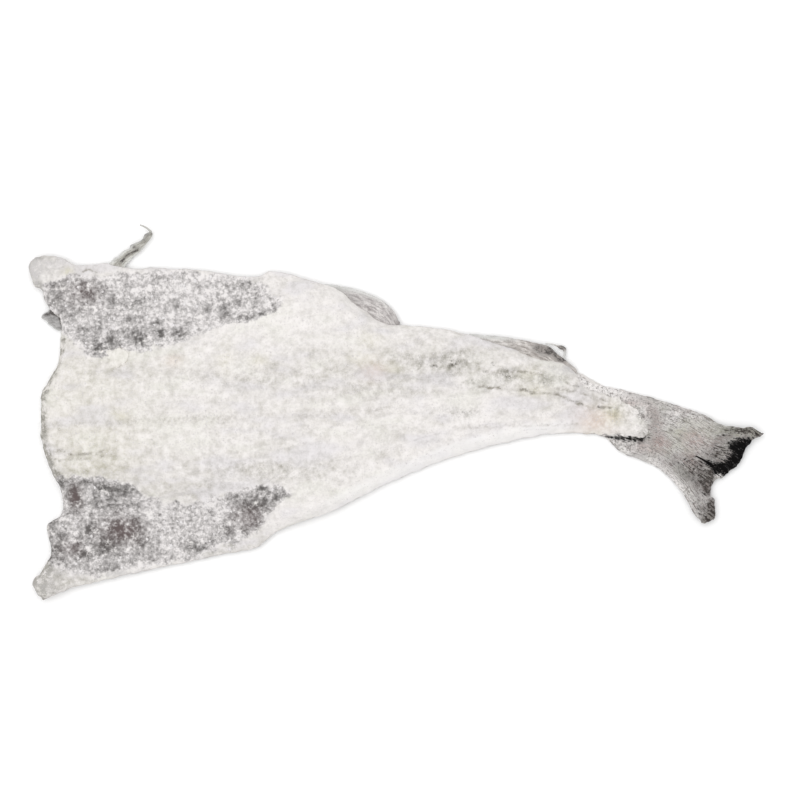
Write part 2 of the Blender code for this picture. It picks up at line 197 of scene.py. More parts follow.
DAMP_FLESH = [  # where the flesh is creamier and less powdered; (365, 225) and (640, 460) are painted light on lower slopes
    (110, 610, 45, 16, 30), (100, 400, 45, 22, 42), (310, 600, 110, 15, 14), (80, 540, 60, 50, 10),
    (420, 610, 50, 25, 28), (500, 610, 45, 22, 32), (600, 630, 50, 16, 42), (680, 600, 40, 12, 38),
    (290, 350, 70, 14, 35), (260, 470, 60, 16, 10), (400, 450, 60, 18, 8), (90, 345, 35, 9, 55),
    (40, 900, 16, 12, 45), (80, 880, 20, 6, 35), (45, 45, 22, 14, 75), (365, 225, 28, 14, -40),
    (430, 730, 50, 25, -10), (330, 700, 50, 22, -12), (510, 350, 60, 30, -15), (640, 460, 60, 14, -15),
    (750, 545, 45, 12, 28), (800, 530, 26, 9, 30), (659, 631, 13, 5, -60), (560, 515, 50, 12, -25),
    (215, 298, 40, 7, 55), (258, 133, 28, 6, 55), (45, 100, 8, 6, 60), (495, 451, 13, 7, 40),
    (556, 486, 13, 6, 40), (481, 386, 16, 6, 35), (329, 417, 18, 6, 30),
]
GREY_FLESH = [
    (300, 590, 90, 10, 12), (535, 634, 18, 6, 40), (580, 630, 14, 9, 60), (648, 600, 12, 5, 95),
    (610, 575, 20, 6, 35), (585, 497, 20, 5, 45), (510, 600, 16, 10, 8), (659, 632, 12, 4, -40),
    (702, 586, 20, 9, 38), (480, 560, 40, 8, 15), (780, 528, 28, 8, 12), (812, 500, 18, 9, 40),
    (330, 340, 60, 8, 25), (24, 885, 16, 14, 16), (32, 45, 17, 15, 80), (24, 95, 7, 14, 75),
    (270, 143, 12, 4, 40), (92, 56, 12, 3, 60), (34, 186, 8, 9, 85), (44, 650, 9, 34, -100),
    (36, 738, 5, 8, -50), (833, 446, 6, 5, 60), (300, 845, 40, 5, 12),
]
FLESH_STAINS = {
    "brown": [  # where old blood stains the lining
        (75, 815, 16, 12, 75), (66, 275, 7, 13, 100), (128, 190, 20, 14, 100), (60, 140, 12, 8, 70),
        (300, 220, 18, 12, 80),
    ],
    "yellow": [
        (56, 872, 5, 5, 90), (124, 487, 9, 4, 40), (795, 493, 9, 8, 80), (680, 600, 12, 6, 35),
        (690, 555, 14, 7, 40), (455, 640, 14, 7, 30), (95, 352, 26, 6, 12), (315, 633, 9, 6, 30),
        (465, 690, 11, 8, 25), (496, 612, 9, 6, 30), (270, 640, 8, 14, 25), (80, 520, 60, 60, 15),
        (100, 400, 40, 20, 12),
    ],
    "pink": [
        (770, 475, 18, 13, 75), (750, 490, 8, 9, 20), (470, 605, 10, 8, 80), (200, 635, 9, 5, 50),
        (710, 470, 20, 8, 8),
    ],
    "specks": [
        (33.5, 764, 1.8, 1.8, 160), (43, 750, 1.5, 2.4, 140), (552, 620, 5, 2.4, 80),
        (578, 626, 5, 3.4, 80), (648, 603, 9, 3, 55), (593, 499, 9, 1.5, 70), (478, 583, 4, 2.4, 60),
        (701, 574, 2.4, 2, 60), (727, 567, 2.4, 2, 60), (633, 622.5, 4, 3.4, 70), (579, 637, 5, 2, 50),
        (605, 583, 3.4, 5, 50), (752, 520, 2.4, 1.8, 80), (777, 514, 3.6, 1.8, 90), (804, 509, 3, 1.8, 90),
        (741, 528, 6, 1.6, 60), (620, 605, 7, 2.4, 50), (525, 640, 6, 3, 50), (785, 545, 10, 3, 50),
        (815, 530, 9, 3, 50),
    ],
    "pale_skin": [  # bare skin at the edges
        (30, 40, 12, 14, 35), (10, 20, 6, 14, 30), (10, 868, 6, 14, 90), (30, 885, 14, 10, 50),
        (22, 810, 6, 9, 60), (150, 76, 60, 3.5, 70), (250, 112, 40, 3.5, 60), (740, 612, 14, 4, 90),
        (775, 560, 16, 5, 45), (200, 880, 60, 2.5, 50), (30, 330, 4, 26, 25),
    ],
}
TAIL_STAINS = {
    "pink": [
        (853, 470, 6, 16, 60), (903, 430, 12, 8, 60), (825, 528, 18, 7, 60), (900, 375, 8, 12, 80),
        (858, 420, 9, 9, 60), (840, 405, 14, 8, 40), (930, 415, 14, 8, 40),
    ],
    "green": [
        (890, 446, 12, 5, 90), (970, 448, 14, 5, 90), (935, 450, 24, 9, 40), (875, 410, 16, 9, 50),
        (910, 470, 18, 6, 40),
    ],
}
# dark patches of the tail; the one at (836, 428) carries the painted shadow on past the end of the gap under
# the flesh
TAIL_DARK = [
    (912, 345, 13, 10, 48), (920, 318, 9, 11, 52), (865, 499, 8, 6, 20), (928, 336, 3, 5, 80),
    (884, 362, 16, 10, 24), (903, 335, 10, 9, 22), (932, 388, 12, 7, 42), (915, 260, 10, 18, 14),
    (925, 312, 4, 6, 80), (923, 294, 2.4, 4, 130), (928, 254, 2.6, 4, 180), (932, 236, 2, 9, 120),
    (925, 210, 7, 3, 90), (925, 228, 7, 9, 85), (945, 402, 11, 13, 50), (938, 464, 6, 2.5, 25),
    (970, 452, 13, 3.2, 75), (992, 441, 5, 4, 50), (836, 428, 8, 4, 42), (832, 380, 9, 5, 30),
    (898, 378, 8, 6, 22), (850, 470, 4, 14, 25), (840, 535, 12, 3, 20), (988, 449, 12, 4, 70),
    (820, 545, 10, 2, 20), (955, 437, 12, 5, 22),
]
TAIL_PALE = [
    (938, 336, 3.2, 2.8, 120), (888, 300, 5, 6, 35), (750, 590, 12, 5, 80), (770, 568, 16, 6, 80),
    (800, 552, 16, 6, 70), (828, 540, 12, 4, 60), (878, 498, 8, 2, 90), (918, 276, 5, 4, 50),
]
FIN_DARK = [
    (693, 668, 6, 5, 46), (701, 663, 5, 5, 36), (710, 661, 4.5, 3.5, 125), (719, 650, 3.5, 2.6, 100),
    (727, 638, 5, 2.4, 95), (739, 622, 6, 2.4, 25), (610, 704, 12, 1.8, 13), (636, 699, 12, 1.8, 17),
    (662, 691, 9, 1.8, 8), (498, 748, 7, 6, 12), (506, 738, 3, 4, 50), (450, 800, 16, 5, 12),
    (429, 827, 10, 3, 22),
]
PELVIC_DARK = [
    (125, 896, 2.4, 2, 50), (144, 935, 2.4, 1.8, 60), (151, 930.5, 3, 2, 40), (140, 940, 3, 1.6, 50),
    (161, 968, 2, 1.8, 110), (167.5, 972, 1.6, 2.2, 90), (159, 957, 4, 3, 35), (154, 949, 5, 3, 25),
]
SHRED_DARK = [
    (31.2, 769.5, 1.2, 2, 150), (34, 761, 1.6, 1.2, 130), (26.2, 757.5, 2.4, 1.2, 80),
    (43.5, 749.5, 1.2, 2, 120), (38.5, 757, 2.2, 1.8, 60), (46.2, 735, 1.2, 3, 60),
]

# ---- thickness of the fish, in shares of its height, and lengths in metres ----
CROWN = [(0.0, 0.80), (0.16, 1.0), (0.45, 0.88), (0.72, 0.62), (0.90, 0.42), (1.0, 0.34)]
SHOULDER = 0.80
BACKBONE_GROOVE = 0.14
GROOVE_WIDTH = 0.055
FLAP = 0.21
LUG = 0.30
BODY_RIM = 0.12
TAIL_PROFILE = [(0.0, 0.15), (0.25, 0.28), (0.45, 0.36), (0.68, 0.20), (1.0, 0.11)]
LOWER_BORDER = [(0.0, 0.30), (0.20, 0.25), (0.38, 0.06), (0.46, -0.20)]
UPPER_BORDER = [(0.0, 0.70), (0.20, 0.76), (0.38, 0.92), (0.46, 1.20)]
BORDER_SLOPE = 0.115
LOIN_ROUNDING = 0.013
FLAP_ROUNDING = 0.007
TAIL_ROUNDING = 0.016
FIN_ROUNDING = 0.004
EDGE_LIFT = 0.0040
SOLE_SHARE = 0.52
CREASE_STRAY = 0.0016
DEEP_CREASE = 0.0014


# ---- numbers ----
def ramp(value, start, end):
    """0 up to start, 1 from end onwards, and a smooth step between. It falls if end is lower."""
    share = np.clip((value - start) / (end - start), 0.0, 1.0)
    return share * share * (3.0 - 2.0 * share)


def hump(value, centre, width):
    """A bell of height 1 round centre."""
    return np.exp(-(((value - centre) / width) ** 2))


def between(value, table):
    """Reads values off a table of (place, value) pairs, smoothly."""
    places, levels = np.array(table).T
    index = np.clip(np.searchsorted(places, value) - 1, 0, len(places) - 2)
    share = ramp(value, places[index], places[index + 1])
    return levels[index] + (levels[index + 1] - levels[index]) * share


def crowded(share, ease=0.45):
    """Moves even shares of 0 to 1 nearer to their closer end, so that rows gather at the edges."""
    return share - ease * np.sin(TURN * share) / TURN


def rounded(distance, reach, rim, full):
    """The rim's value at an edge and the full value from reach inwards, along a quarter ellipse."""
    share = np.minimum(distance / reach, 1.0)
    return rim + (full - rim) * np.sqrt(1.0 - (1.0 - share) ** 2)


def lumps(points, size, seed, octaves=3):
    """Fractal noise of about -1 to 1 at each point. A pair of sizes stretches its lumps."""
    scaled = points / np.broadcast_to(size, 2)
    return np.array([noise.fractal((x, y, seed), 1.0, 2.0, octaves) for x, y in scaled.tolist()])


# ---- lines ----
def placed(landmarks):
    """Landmarks in thousandths of the fish's length and breadth, as points in metres."""
    return np.array(landmarks) / 1000.0 * (LENGTH, BREADTH) + (LOW.x, LOW.y)


def smooth_samples(points, samples=24):
    """Points along a Catmull-Rom curve that passes through the given points."""
    ends = np.vstack((2 * points[0] - points[1], points, 2 * points[-1] - points[-2]))
    u = np.arange(samples)[:, None] / samples
    spans = []
    for before, start, end, after in zip(ends, ends[1:], ends[2:], ends[3:]):
        linear = (end - before) * u
        square = (2 * before - 5 * start + 4 * end - after) * u**2
        cube = (3 * start - before - 3 * end + after) * u**3
        spans.append(0.5 * (2 * start + linear + square + cube))
    return np.vstack((*spans, points[-1:]))


def line_through(points):
    """A function from shares of a line's length to the points there."""
    steps = np.linalg.norm(np.diff(points, axis=0), axis=1)
    shares = np.concatenate(([0.0], np.cumsum(steps))) / steps.sum()
    return lambda share: np.stack([np.interp(share, shares, axis) for axis in points.T], axis=-1)


def smooth_line(landmarks):
    return line_through(smooth_samples(placed(landmarks)))


def straight_line(start, end):
    return line_through(np.array((start, end)))


def patch_points(edges, s, t):
    """Points inside four edges that share their corners (a Coons patch)."""
    lower, upper, near, far = edges
    s_share, t_share = s[:, None], t[:, None]
    along = lower(s) * (1 - t_share) + upper(s) * t_share
    across = near(t) * (1 - s_share) + far(t) * s_share
    bottom = lower(0.0) * (1 - s_share) + lower(1.0) * s_share
    top = upper(0.0) * (1 - s_share) + upper(1.0) * s_share
    return along + across - bottom * (1 - t_share) - top * t_share


def distance_to(lines, points, samples=600):
    """Each point's distance from the nearest of some lines."""
    marks = np.vstack([line(np.linspace(0.0, 1.0, samples)) for line in lines])
    tree = kdtree.KDTree(len(marks))
    for index, (x, y) in enumerate(marks.tolist()):
        tree.insert((x, y, 0.0), index)
    tree.balance()
    return np.array([tree.find((x, y, 0.0))[2] for x, y in points.tolist()])


def nearness(landmarks, points, width, samples=200):
    """1 on a line, falling off to nothing a few widths beside it."""
    return hump(distance_to([smooth_line(landmarks)], points, samples), 0.0, width)


# ---- marks on a surface ----
def spots(points, table):
    """The sum of soft round spots."""
    total = np.zeros(len(points))
    for along, across, reach_x, reach_y, strength in table:
        offset = (points - placed([(along, across)])) / (reach_x / 1000.0, reach_y / 1000.0)
        total += strength / 100.0 * np.exp(-(offset**2).sum(axis=1))
    return total


def stained(points, tables):
    """A mark of 0 to 1 for each table of spots."""
    return {mark: np.clip(spots(points, table), 0.0, 1.0) for mark, table in tables.items()}


def inside(points, landmarks):
    """Metres inside a smooth closed outline, negative outside it."""
    ring = smooth_samples(placed([*landmarks, landmarks[0]]), samples=6)
    x, y = points.T
    crossings = np.zeros(len(points), dtype=int)
    for (x0, y0), (x1, y1) in zip(ring, ring[1:]):
        spans = (y0 > y) != (y1 > y)
        at = x0 + (y - y0) * (x1 - x0) / (y1 - y0 if y1 != y0 else 1.0)
        crossings += spans & (x < at)
    distance = distance_to([line_through(ring)], points)
    return np.where(crossings % 2 == 1, distance, -distance)


def creases(points):
    """Depth of the creases, broken along their way, and how much painted shade each point gets from lying in
    one.
    """
    depth = np.zeros(len(points))
    share = np.zeros(len(points))
    strayed = points + CREASE_STRAY * np.stack([lumps(points, 0.0075, seed) for seed in (91.0, 92.0)], axis=1)
    for depth_mm, width_mm, landmarks in CREASES:
        deep = depth_mm / 1000.0
        bell = nearness(landmarks, strayed, width_mm / 1000.0, samples=400)
        depth = np.maximum(depth, deep * bell)
        share = np.maximum(share, bell * min(deep / DEEP_CREASE, 1.0))
    whole = 0.25 + 0.75 * ramp(lumps(points, 0.013, 29.0), -0.35, 0.25)
    return depth * whole, share * whole


# ---- sheets of flesh, skin and fin ----
def unit_sheet(cells, cuts):
    """A closed box of 1 by 1 by 1 whose top is cut finer than its underside."""
    bm = bmesh.new()
    bmesh.ops.create_grid(bm, x_segments=cells[0], y_segments=cells[1], size=0.5)
    raised = bmesh.ops.extrude_face_region(bm, geom=bm.faces[:])["geom"]
    tops = [item for item in raised if isinstance(item, bmesh.types.BMVert)]
    bmesh.ops.translate(bm, verts=tops, vec=(0.0, 0.0, 1.0))
    if cuts:
        edges = [item for item in raised if isinstance(item, bmesh.types.BMEdge)]
        bmesh.ops.subdivide_edges(bm, edges=edges, cuts=cuts, use_grid_fill=True)
        bmesh.ops.triangulate(bm, faces=[face for face in bm.faces if len(face.verts) > 4])
    settle_walls(bm)
    return bm


def settle_walls(bm):
    """Gives the side faces a fixed order among themselves: extruding leaves them in a new one each run."""
    bm.faces.index_update()
    walls = [face for face in bm.faces if len({round(vert.co.z) for vert in face.verts}) == 2]
    places = sorted(face.index for face in walls)
    walls.sort(key=lambda face: [round(share, 5) for share in face.calc_center_median()])
    for place, face in zip(places, walls):
        face.index = place
    bm.faces.sort()


def make_sheet(name, edges, cells, shape, cuts=0, inset=0.0, ragged=(0.0, 0.0)):
    """A closed sheet inside four edges, as an object with the marks that shape() gives it.

    shape(s, t, points, distance) returns the levels of the underside and the top, and a dict of marks.
    The sheet keeps inset metres away from the edges. Its rim wanders by about the two lengths in ragged:
    the second one holds at the far end.
    """
    bm = unit_sheet(cells, cuts)
    mesh = bpy.data.meshes.new(name)
    bm.to_mesh(mesh)
    bm.free()
    unit = np.empty(len(mesh.vertices) * 3)
    mesh.vertices.foreach_get("co", unit)
    unit = unit.reshape(-1, 3)
    s, t = crowded(unit[:, 0] + 0.5), crowded(unit[:, 1] + 0.5)
    if inset:
        inset_s = inset / np.linalg.norm(edges[0](1.0) - edges[0](0.0))
        inset_t = np.minimum(inset / np.linalg.norm(edges[1](s) - edges[0](s), axis=1), 0.1)
        s, t = inset_s + (1 - 2 * inset_s) * s, inset_t + (1 - 2 * inset_t) * t
    points = patch_points(edges, s, t)
    distance = distance_to(edges, points)
    wander = np.stack([lumps(points, 0.007, seed, 4) for seed in (3.1, 8.7)], axis=1)
    reach = ragged[0] + (ragged[1] - ragged[0]) * ramp(s, 0.88, 0.98)
    points = points + wander * (reach * ramp(distance, 0.010, 0.0))[:, None]
    underside, top, marks = shape(s, t, points, distance)
    level = np.where(unit[:, 2] > 0.5, top, underside)
    mesh.vertices.foreach_set("co", np.column_stack((points, level)).ravel())
    for mark, values in marks.items():
        attribute = mesh.attributes.new(mark, "FLOAT", "POINT")
        attribute.data.foreach_set("value", np.broadcast_to(values, len(points)).astype(np.float32))
    bm = bmesh.new()
    bm.from_mesh(mesh)
    bmesh.ops.recalc_face_normals(bm, faces=bm.faces[:])
    bm.to_mesh(mesh)
    bm.free()
    mesh.shade_smooth()
    return bpy.data.objects.new(name, mesh)


def finish_piece(piece, material):
    """Puts a finished piece in the scene, on the solid that it stands for."""
    bpy.context.scene.collection.objects.link(piece)
    piece.data.materials.clear()
    piece.data.materials.append(material)
    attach(piece, BODY)
    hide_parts(SOLID)


def level_of(name, points):
    """How high the top of a finished piece lies at each point, and 0 beside the piece."""
    piece = bpy.data.objects[name]
    levels = []
    for x, y in points.tolist():
        hit, spot, _, _ = piece.ray_cast(Vector((x, y, 0.1)), Vector((0.0, 0.0, -1.0)))
        levels.append(spot.z if hit else 0.0)
    return np.array(levels)


# ---- the body's form ----
def body_edges(upper_edge=UPPER_EDGE):
    lower, upper, neck = (smooth_line(line) for line in (LOWER_EDGE, upper_edge, NECK_EDGE))
    return [lower, upper, neck, straight_line(lower(1.0), upper(1.0))]


def muscle_share(s, t):
    """1 on the back muscles and 0 on the thin belly flaps beside them, which end at the vent."""
    lower, upper = between(s, LOWER_BORDER), between(s, UPPER_BORDER)
    above_lower = ramp(t, lower - BORDER_SLOPE, lower + BORDER_SLOPE)
    return above_lower * ramp(t, upper + BORDER_SLOPE, upper - BORDER_SLOPE)


def body_sole(s, t):
    curl = ramp(np.abs(2.0 * t - 1.0), SOLE_SHARE, 1.0) * (1.0 - 0.5 * ramp(s, 0.3, 0.7))
    ripple = 0.8 + 0.2 * np.sin(17.0 * s + 2.0 * t)
    return EDGE_LIFT * (curl * ripple + 0.35 * ramp(s, 0.05, 0.0))


def body_thickness(s, t, distance):
    arch = SHOULDER + (1.0 - SHOULDER) * np.sqrt(np.maximum(np.sin(math.pi * t), 0.0))
    groove = BACKBONE_GROOVE * hump(t, 0.5, GROOVE_WIDTH) * ramp(s, 1.0, 0.86)
    muscle = between(s, CROWN) * (arch - groove)
    flap = FLAP + LUG * ramp(s, 0.09, 0.02) * ramp(np.abs(2.0 * t - 1.0), 0.72, 1.0)
    share = muscle_share(s, t)
    reach = FLAP_ROUNDING + (LOIN_ROUNDING - FLAP_ROUNDING) * share
    return HEIGHT * rounded(distance, reach, BODY_RIM, flap + (muscle - flap) * share)


# ---- node trees written as expressions ----
def both_ways(operation):
    """An arithmetic operator on values as a Math node, and its reflected form."""

    def plain(self, other):
        return self.nodes.math(operation, self, other)

    def reflected(self, other):
        return self.nodes.math(operation, other, self)

    return plain, reflected


class Value:
    """A number that a node puts out. Arithmetic on it adds Math nodes."""

    __add__, __radd__ = both_ways("ADD")
    __sub__, __rsub__ = both_ways("SUBTRACT")
    __mul__, __rmul__ = both_ways("MULTIPLY")
    __pow__, __rpow__ = both_ways("POWER")

    def __init__(self, nodes, socket):
        self.nodes = nodes
        self.socket = socket

    def step(self, start, end):
        """0 before start, 1 after end, and a smooth step between them."""
        settings = {"interpolation_type": "SMOOTHSTEP"}
        return self.nodes.read("ShaderNodeMapRange", settings, {0: self, 1: start, 2: end})

    def size(self):
        return self.nodes.math("ABSOLUTE", self)

    def above_zero(self):
        return self.nodes.math("MAXIMUM", self, 0.0)

    def clamped(self):
        return self.nodes.math("MINIMUM", self.above_zero(), 1.0)


class Nodes:
    """A node tree under construction."""

    def __init__(self, tree):
        self.tree = tree

    def node(self, kind, settings=None, inputs=None):
        """Adds a node, makes its settings, and then sets or links its inputs."""
        node = self.tree.nodes.new(kind)
        for setting, value in (settings or {}).items():
            setattr(node, setting, value)
        for key, value in (inputs or {}).items():
            value = getattr(value, "socket", value)
            if isinstance(value, bpy.types.NodeSocket):
                self.tree.links.new(value, node.inputs[key])
            else:
                node.inputs[key].default_value = value
        return node

    def read(self, kind, settings=None, inputs=None, output=0):
        """A new node's output, as a number."""
        return Value(self, self.node(kind, settings, inputs).outputs[output])

    def math(self, operation, *numbers):
        return self.read("ShaderNodeMath", {"operation": operation}, dict(enumerate(numbers)))


class Finish(Nodes):
    """A material under construction, painted coat after coat."""

    def __init__(self, name, roughness, colour):
        self.material = bpy.data.materials.new(name)
        self.material.use_nodes = True
        super().__init__(self.material.node_tree)
        self.inputs = self.tree.nodes["Principled BSDF"].inputs
        self.inputs["Roughness"].default_value = roughness
        self.place = self.node("ShaderNodeTexCoord").outputs["Object"]
        self.colour = colour

    def mark(self, name):
        """A number painted on the piece's surface."""
        return self.read("ShaderNodeAttribute", {"attribute_name": name}, output="Fac")

    def noise(self, size, detail=2.0, roughness=0.5, place=None):
        """Noise of 0 to 1 in lumps of a size in metres."""
        inputs = {"Vector": place or self.place, "Scale": 1.0 / size}
        inputs |= {"Detail": detail, "Roughness": roughness}
        return self.read("ShaderNodeTexNoise", None, inputs)

    def unrest(self, size, detail=2.0, roughness=0.5, place=None):
        """The same noise, of -0.5 to 0.5."""
        return self.noise(size, detail, roughness, place) - 0.5

    def cells(self, size):
        """Distance from scattered points, in shares of their spacing in metres."""
        inputs = {"Vector": self.place, "Scale": 1.0 / size}
        return self.read("ShaderNodeTexVoronoi", None, inputs, "Distance")

    def drawn_out(self, share):
        """The place with its lengths shortened, which draws a pattern out along the fish."""
        inputs = {"Vector": self.place, "Scale": (share, 1.0, 1.0)}
        return self.node("ShaderNodeMapping", None, inputs).outputs["Vector"]

    def along_rays(self, share):
        """The place on a fin, in metres along and across its rays, with its lengths shortened."""
        inputs = {0: self.mark("along") * share, 1: self.mark("across")}
        return self.node("ShaderNodeCombineXYZ", None, inputs).outputs[0]

    def mixed(self, share, *colours):
        """A colour between two colours."""
        first, second = (c if isinstance(c, bpy.types.NodeSocket) else (*c, 1.0) for c in colours)
        return self.node("ShaderNodeMix", {"data_type": "RGBA"}, {0: share, 6: first, 7: second}).outputs[2]

    def coat(self, share, colour):
        """Covers a share of what is painted so far. A share past 0 or 1 counts as 0 or 1."""
        self.colour = self.mixed(share, self.colour, colour)

    def done(self, height, distance, strength):
        """Applies the colour, and a bump whose height of 0 to 1 stands for distance metres."""
        self.tree.links.new(self.colour, self.inputs["Base Color"])
        inputs = {"Height": height, "Distance": distance, "Strength": strength}
        bump = self.node("ShaderNodeBump", None, inputs)
        self.tree.links.new(bump.outputs["Normal"], self.inputs["Normal"])
        return self.material


def tint(code):
    """A colour written as RRGGBB, as the linear red, green and blue that Blender uses."""
    shares = [int(code[start : start + 2], 16) / 255.0 for start in (0, 2, 4)]
    return tuple(c / 12.92 if c <= 0.04045 else ((c + 0.055) / 1.055) ** 2.4 for c in shares)


# ---- finishes ----
def flesh_finish(colours):
    """Dry crumbly flesh powdered with salt, and the dark lining of the belly on its flaps."""
    finish = Finish("dried_flesh", 0.86, colours.powder)
    mark, coat = finish.mark, finish.coat
    fine, grain, clod, blotch = (finish.unrest(size) for size in (0.0015, 0.0032, 0.0068, 0.0150))
    drift = finish.noise(0.0200, place=finish.drawn_out(0.4))
    fibre = finish.unrest(0.0042, place=finish.drawn_out(0.25))
    stir = fine * 1.8 + grain * 2.6 + clod * 2.5 + blotch * 1.6
    patchy = stir + 1.0
    mottled = patchy * 0.4 + 0.4

    coat(mark("damp") * (stir * 0.38 + fibre * 1.3 + 1.0) + (drift - 0.5) * 0.45, colours.flesh)
    coat(mark("yellow") * mottled, colours.yellow_fat)
    coat(mark("pink") * mottled, colours.pink_flesh)
    coat(drift.step(0.50, 0.68) * 0.35, colours.cool_powder)
    coat((1.0 - drift).step(0.52, 0.70) * 0.28, colours.green_flesh)
    # the grey coat is dark muscle, and also painted shade along the neck's cut edge
    coat(mark("grey") * patchy + stir * 0.15 + 0.055, colours.grey_flesh_and_shade)
    coat(mark("pale_skin") * (patchy * 0.7 + 0.3), colours.pale_skin)
    # painted light: a near-white coat that lightens the lower rear edge, where the flesh slopes away from the
    # lamp
    coat(mark("frost_and_painted_light") * (stir * 0.3 + 0.8), colours.frost_and_painted_light)

    film = finish.mixed(mark("brown"), colours.lining, colours.blood_lining)
    veins = (1.0 - finish.unrest(0.0066, 1.0).size() * 8.0).clamped() - 0.4
    bare = mark("bare")
    bare += (fine * 0.80 + grain * 1.35 + clod * 0.90 + blotch * 0.45 + veins * 0.22) * (bare * 0.28 + 0.71)
    lining = finish.mixed((1.0 - bare).clamped() ** 1.6, film, colours.salted_lining)
    coat((mark("lining") * (stir * 0.5 + 1.0)).step(0.10, 0.90), lining)
    # painted shade: darkens the bottoms of the creases
    coat(mark("crease_shade") * (0.9 + grain * 2.4 + fine * 2.0), colours.crease_shade)
    coat((mark("specks") * (patchy + fibre * 2.0)).step(0.25, 1.50), colours.speck)
    return finish.done(grain * 0.5 + clod * 0.3 + fine * 0.2 + 0.5, 0.0010, 0.6)


def skin_finish(colours):
    """Dry mottled skin, with small scales and a film of salt."""
    finish = Finish("fish_skin", 0.72, colours.skin)
    mottle, grain = finish.noise(0.0090, 4.0, 0.6), finish.noise(0.0022, 3.0, 0.6)
    finish.coat(mottle.step(0.40, 0.62), colours.skin_dark)
    finish.coat(finish.mark("lateral"), colours.skin_pale)
    salted = (finish.mark("powder") + (grain - 0.5) * 2.4 + (mottle - 0.5)).step(0.35, 0.85)
    finish.coat(salted * 0.7, colours.powder)
    return finish.done((1.0 - finish.cells(0.0021)) * 0.5 + grain * 0.5, 0.0004, 0.6)


def tail_finish(colours):
    """Salt-frosted skin of the stalk, streaked with rays towards the torn edge of the fin."""
    finish = Finish("tail_skin", 0.80, colours.tail_dark)
    finish.inputs["Specular IOR Level"].default_value = 0.08
    mark, coat = finish.mark, finish.coat
    streak = finish.unrest(0.0014, 3.0, 0.6, finish.along_rays(0.11))
    fine, grain = finish.unrest(0.0012, 2.0, 0.6), finish.unrest(0.0026, 3.0, 0.6)
    mottle, drift = finish.unrest(0.0065), finish.unrest(0.0130)
    fin = mark("fin")
    frost_and_painted_light = fine * 3.1 + grain * (2.7 - fin * 0.9) + streak * (0.4 + fin * 6.4) + mottle * 0.8
    coat(frost_and_painted_light + 0.62, colours.tail_pale)
    coat((mark("green") + drift * 1.8) * (0.5 + grain * 2.0), colours.green_skin)
    pinkish = (mark("pink") - drift * 1.4) * (0.6 + fine * 3.0 + grain * 3.0)
    coat(pinkish.clamped() * 0.9, colours.pink_skin)
    coat(mark("pale") * (0.8 + fine * 2.5 + grain * 3.0), colours.powder)
    dark = mark("dark") * (1.0 + fine * 4.5 + grain * 4.0 + streak * (1.0 + fin * 5.5))
    coat(dark + fin * (streak * 2.2 + grain * 0.8 - 0.10), colours.fin_dark)
    # black: the fin's own black, and the painted shadow along the gap under the flesh's edge
    black = (mark("black") + streak * 2.2 + fine * 1.2).step(0.15, 0.55)
    coat(black * (1.0 - (streak + fine * 0.6 - 0.11).above_zero() * 1.6), colours.fin_black_and_shadow)
    return finish.done(grain * 0.5 + fine * 0.3 + streak * 0.4 + 0.5, 0.0008, 0.8)


def fin_finish(name, base, line, colours):
    """Horny rays on a thin dry membrane, with dark lines between them and pale worn edges."""
    finish = Finish(name, 0.62, line)
    streak = finish.unrest(0.0012, 3.0, 0.6, finish.along_rays(0.14))
    grain, mottle = finish.unrest(0.0013, 3.0, 0.6), finish.unrest(0.0060)
    finish.coat(streak * 3.0 + grain * 1.6 + mottle * 1.2 + 0.5, base)
    finish.coat(finish.mark("pale") * (1.0 + grain * 2.0), colours.fin_edge)
    finish.coat(finish.mark("dark") * (1.0 + streak * 4.0 + grain * 5.0 + mottle * 3.0), colours.fin_dark)
    return finish.done(streak * 0.7 + grain * 0.3 + 0.5, 0.0004, 0.7)


def salt_finish(colours):
    """White crystals, some of them greyed."""
    finish = Finish("salt", 0.55, colours.salt)
    finish.coat(finish.noise(0.0050).step(0.35, 0.70), colours.salt_grey)
    return finish.done(finish.noise(0.0006), 0.0001, 0.5)


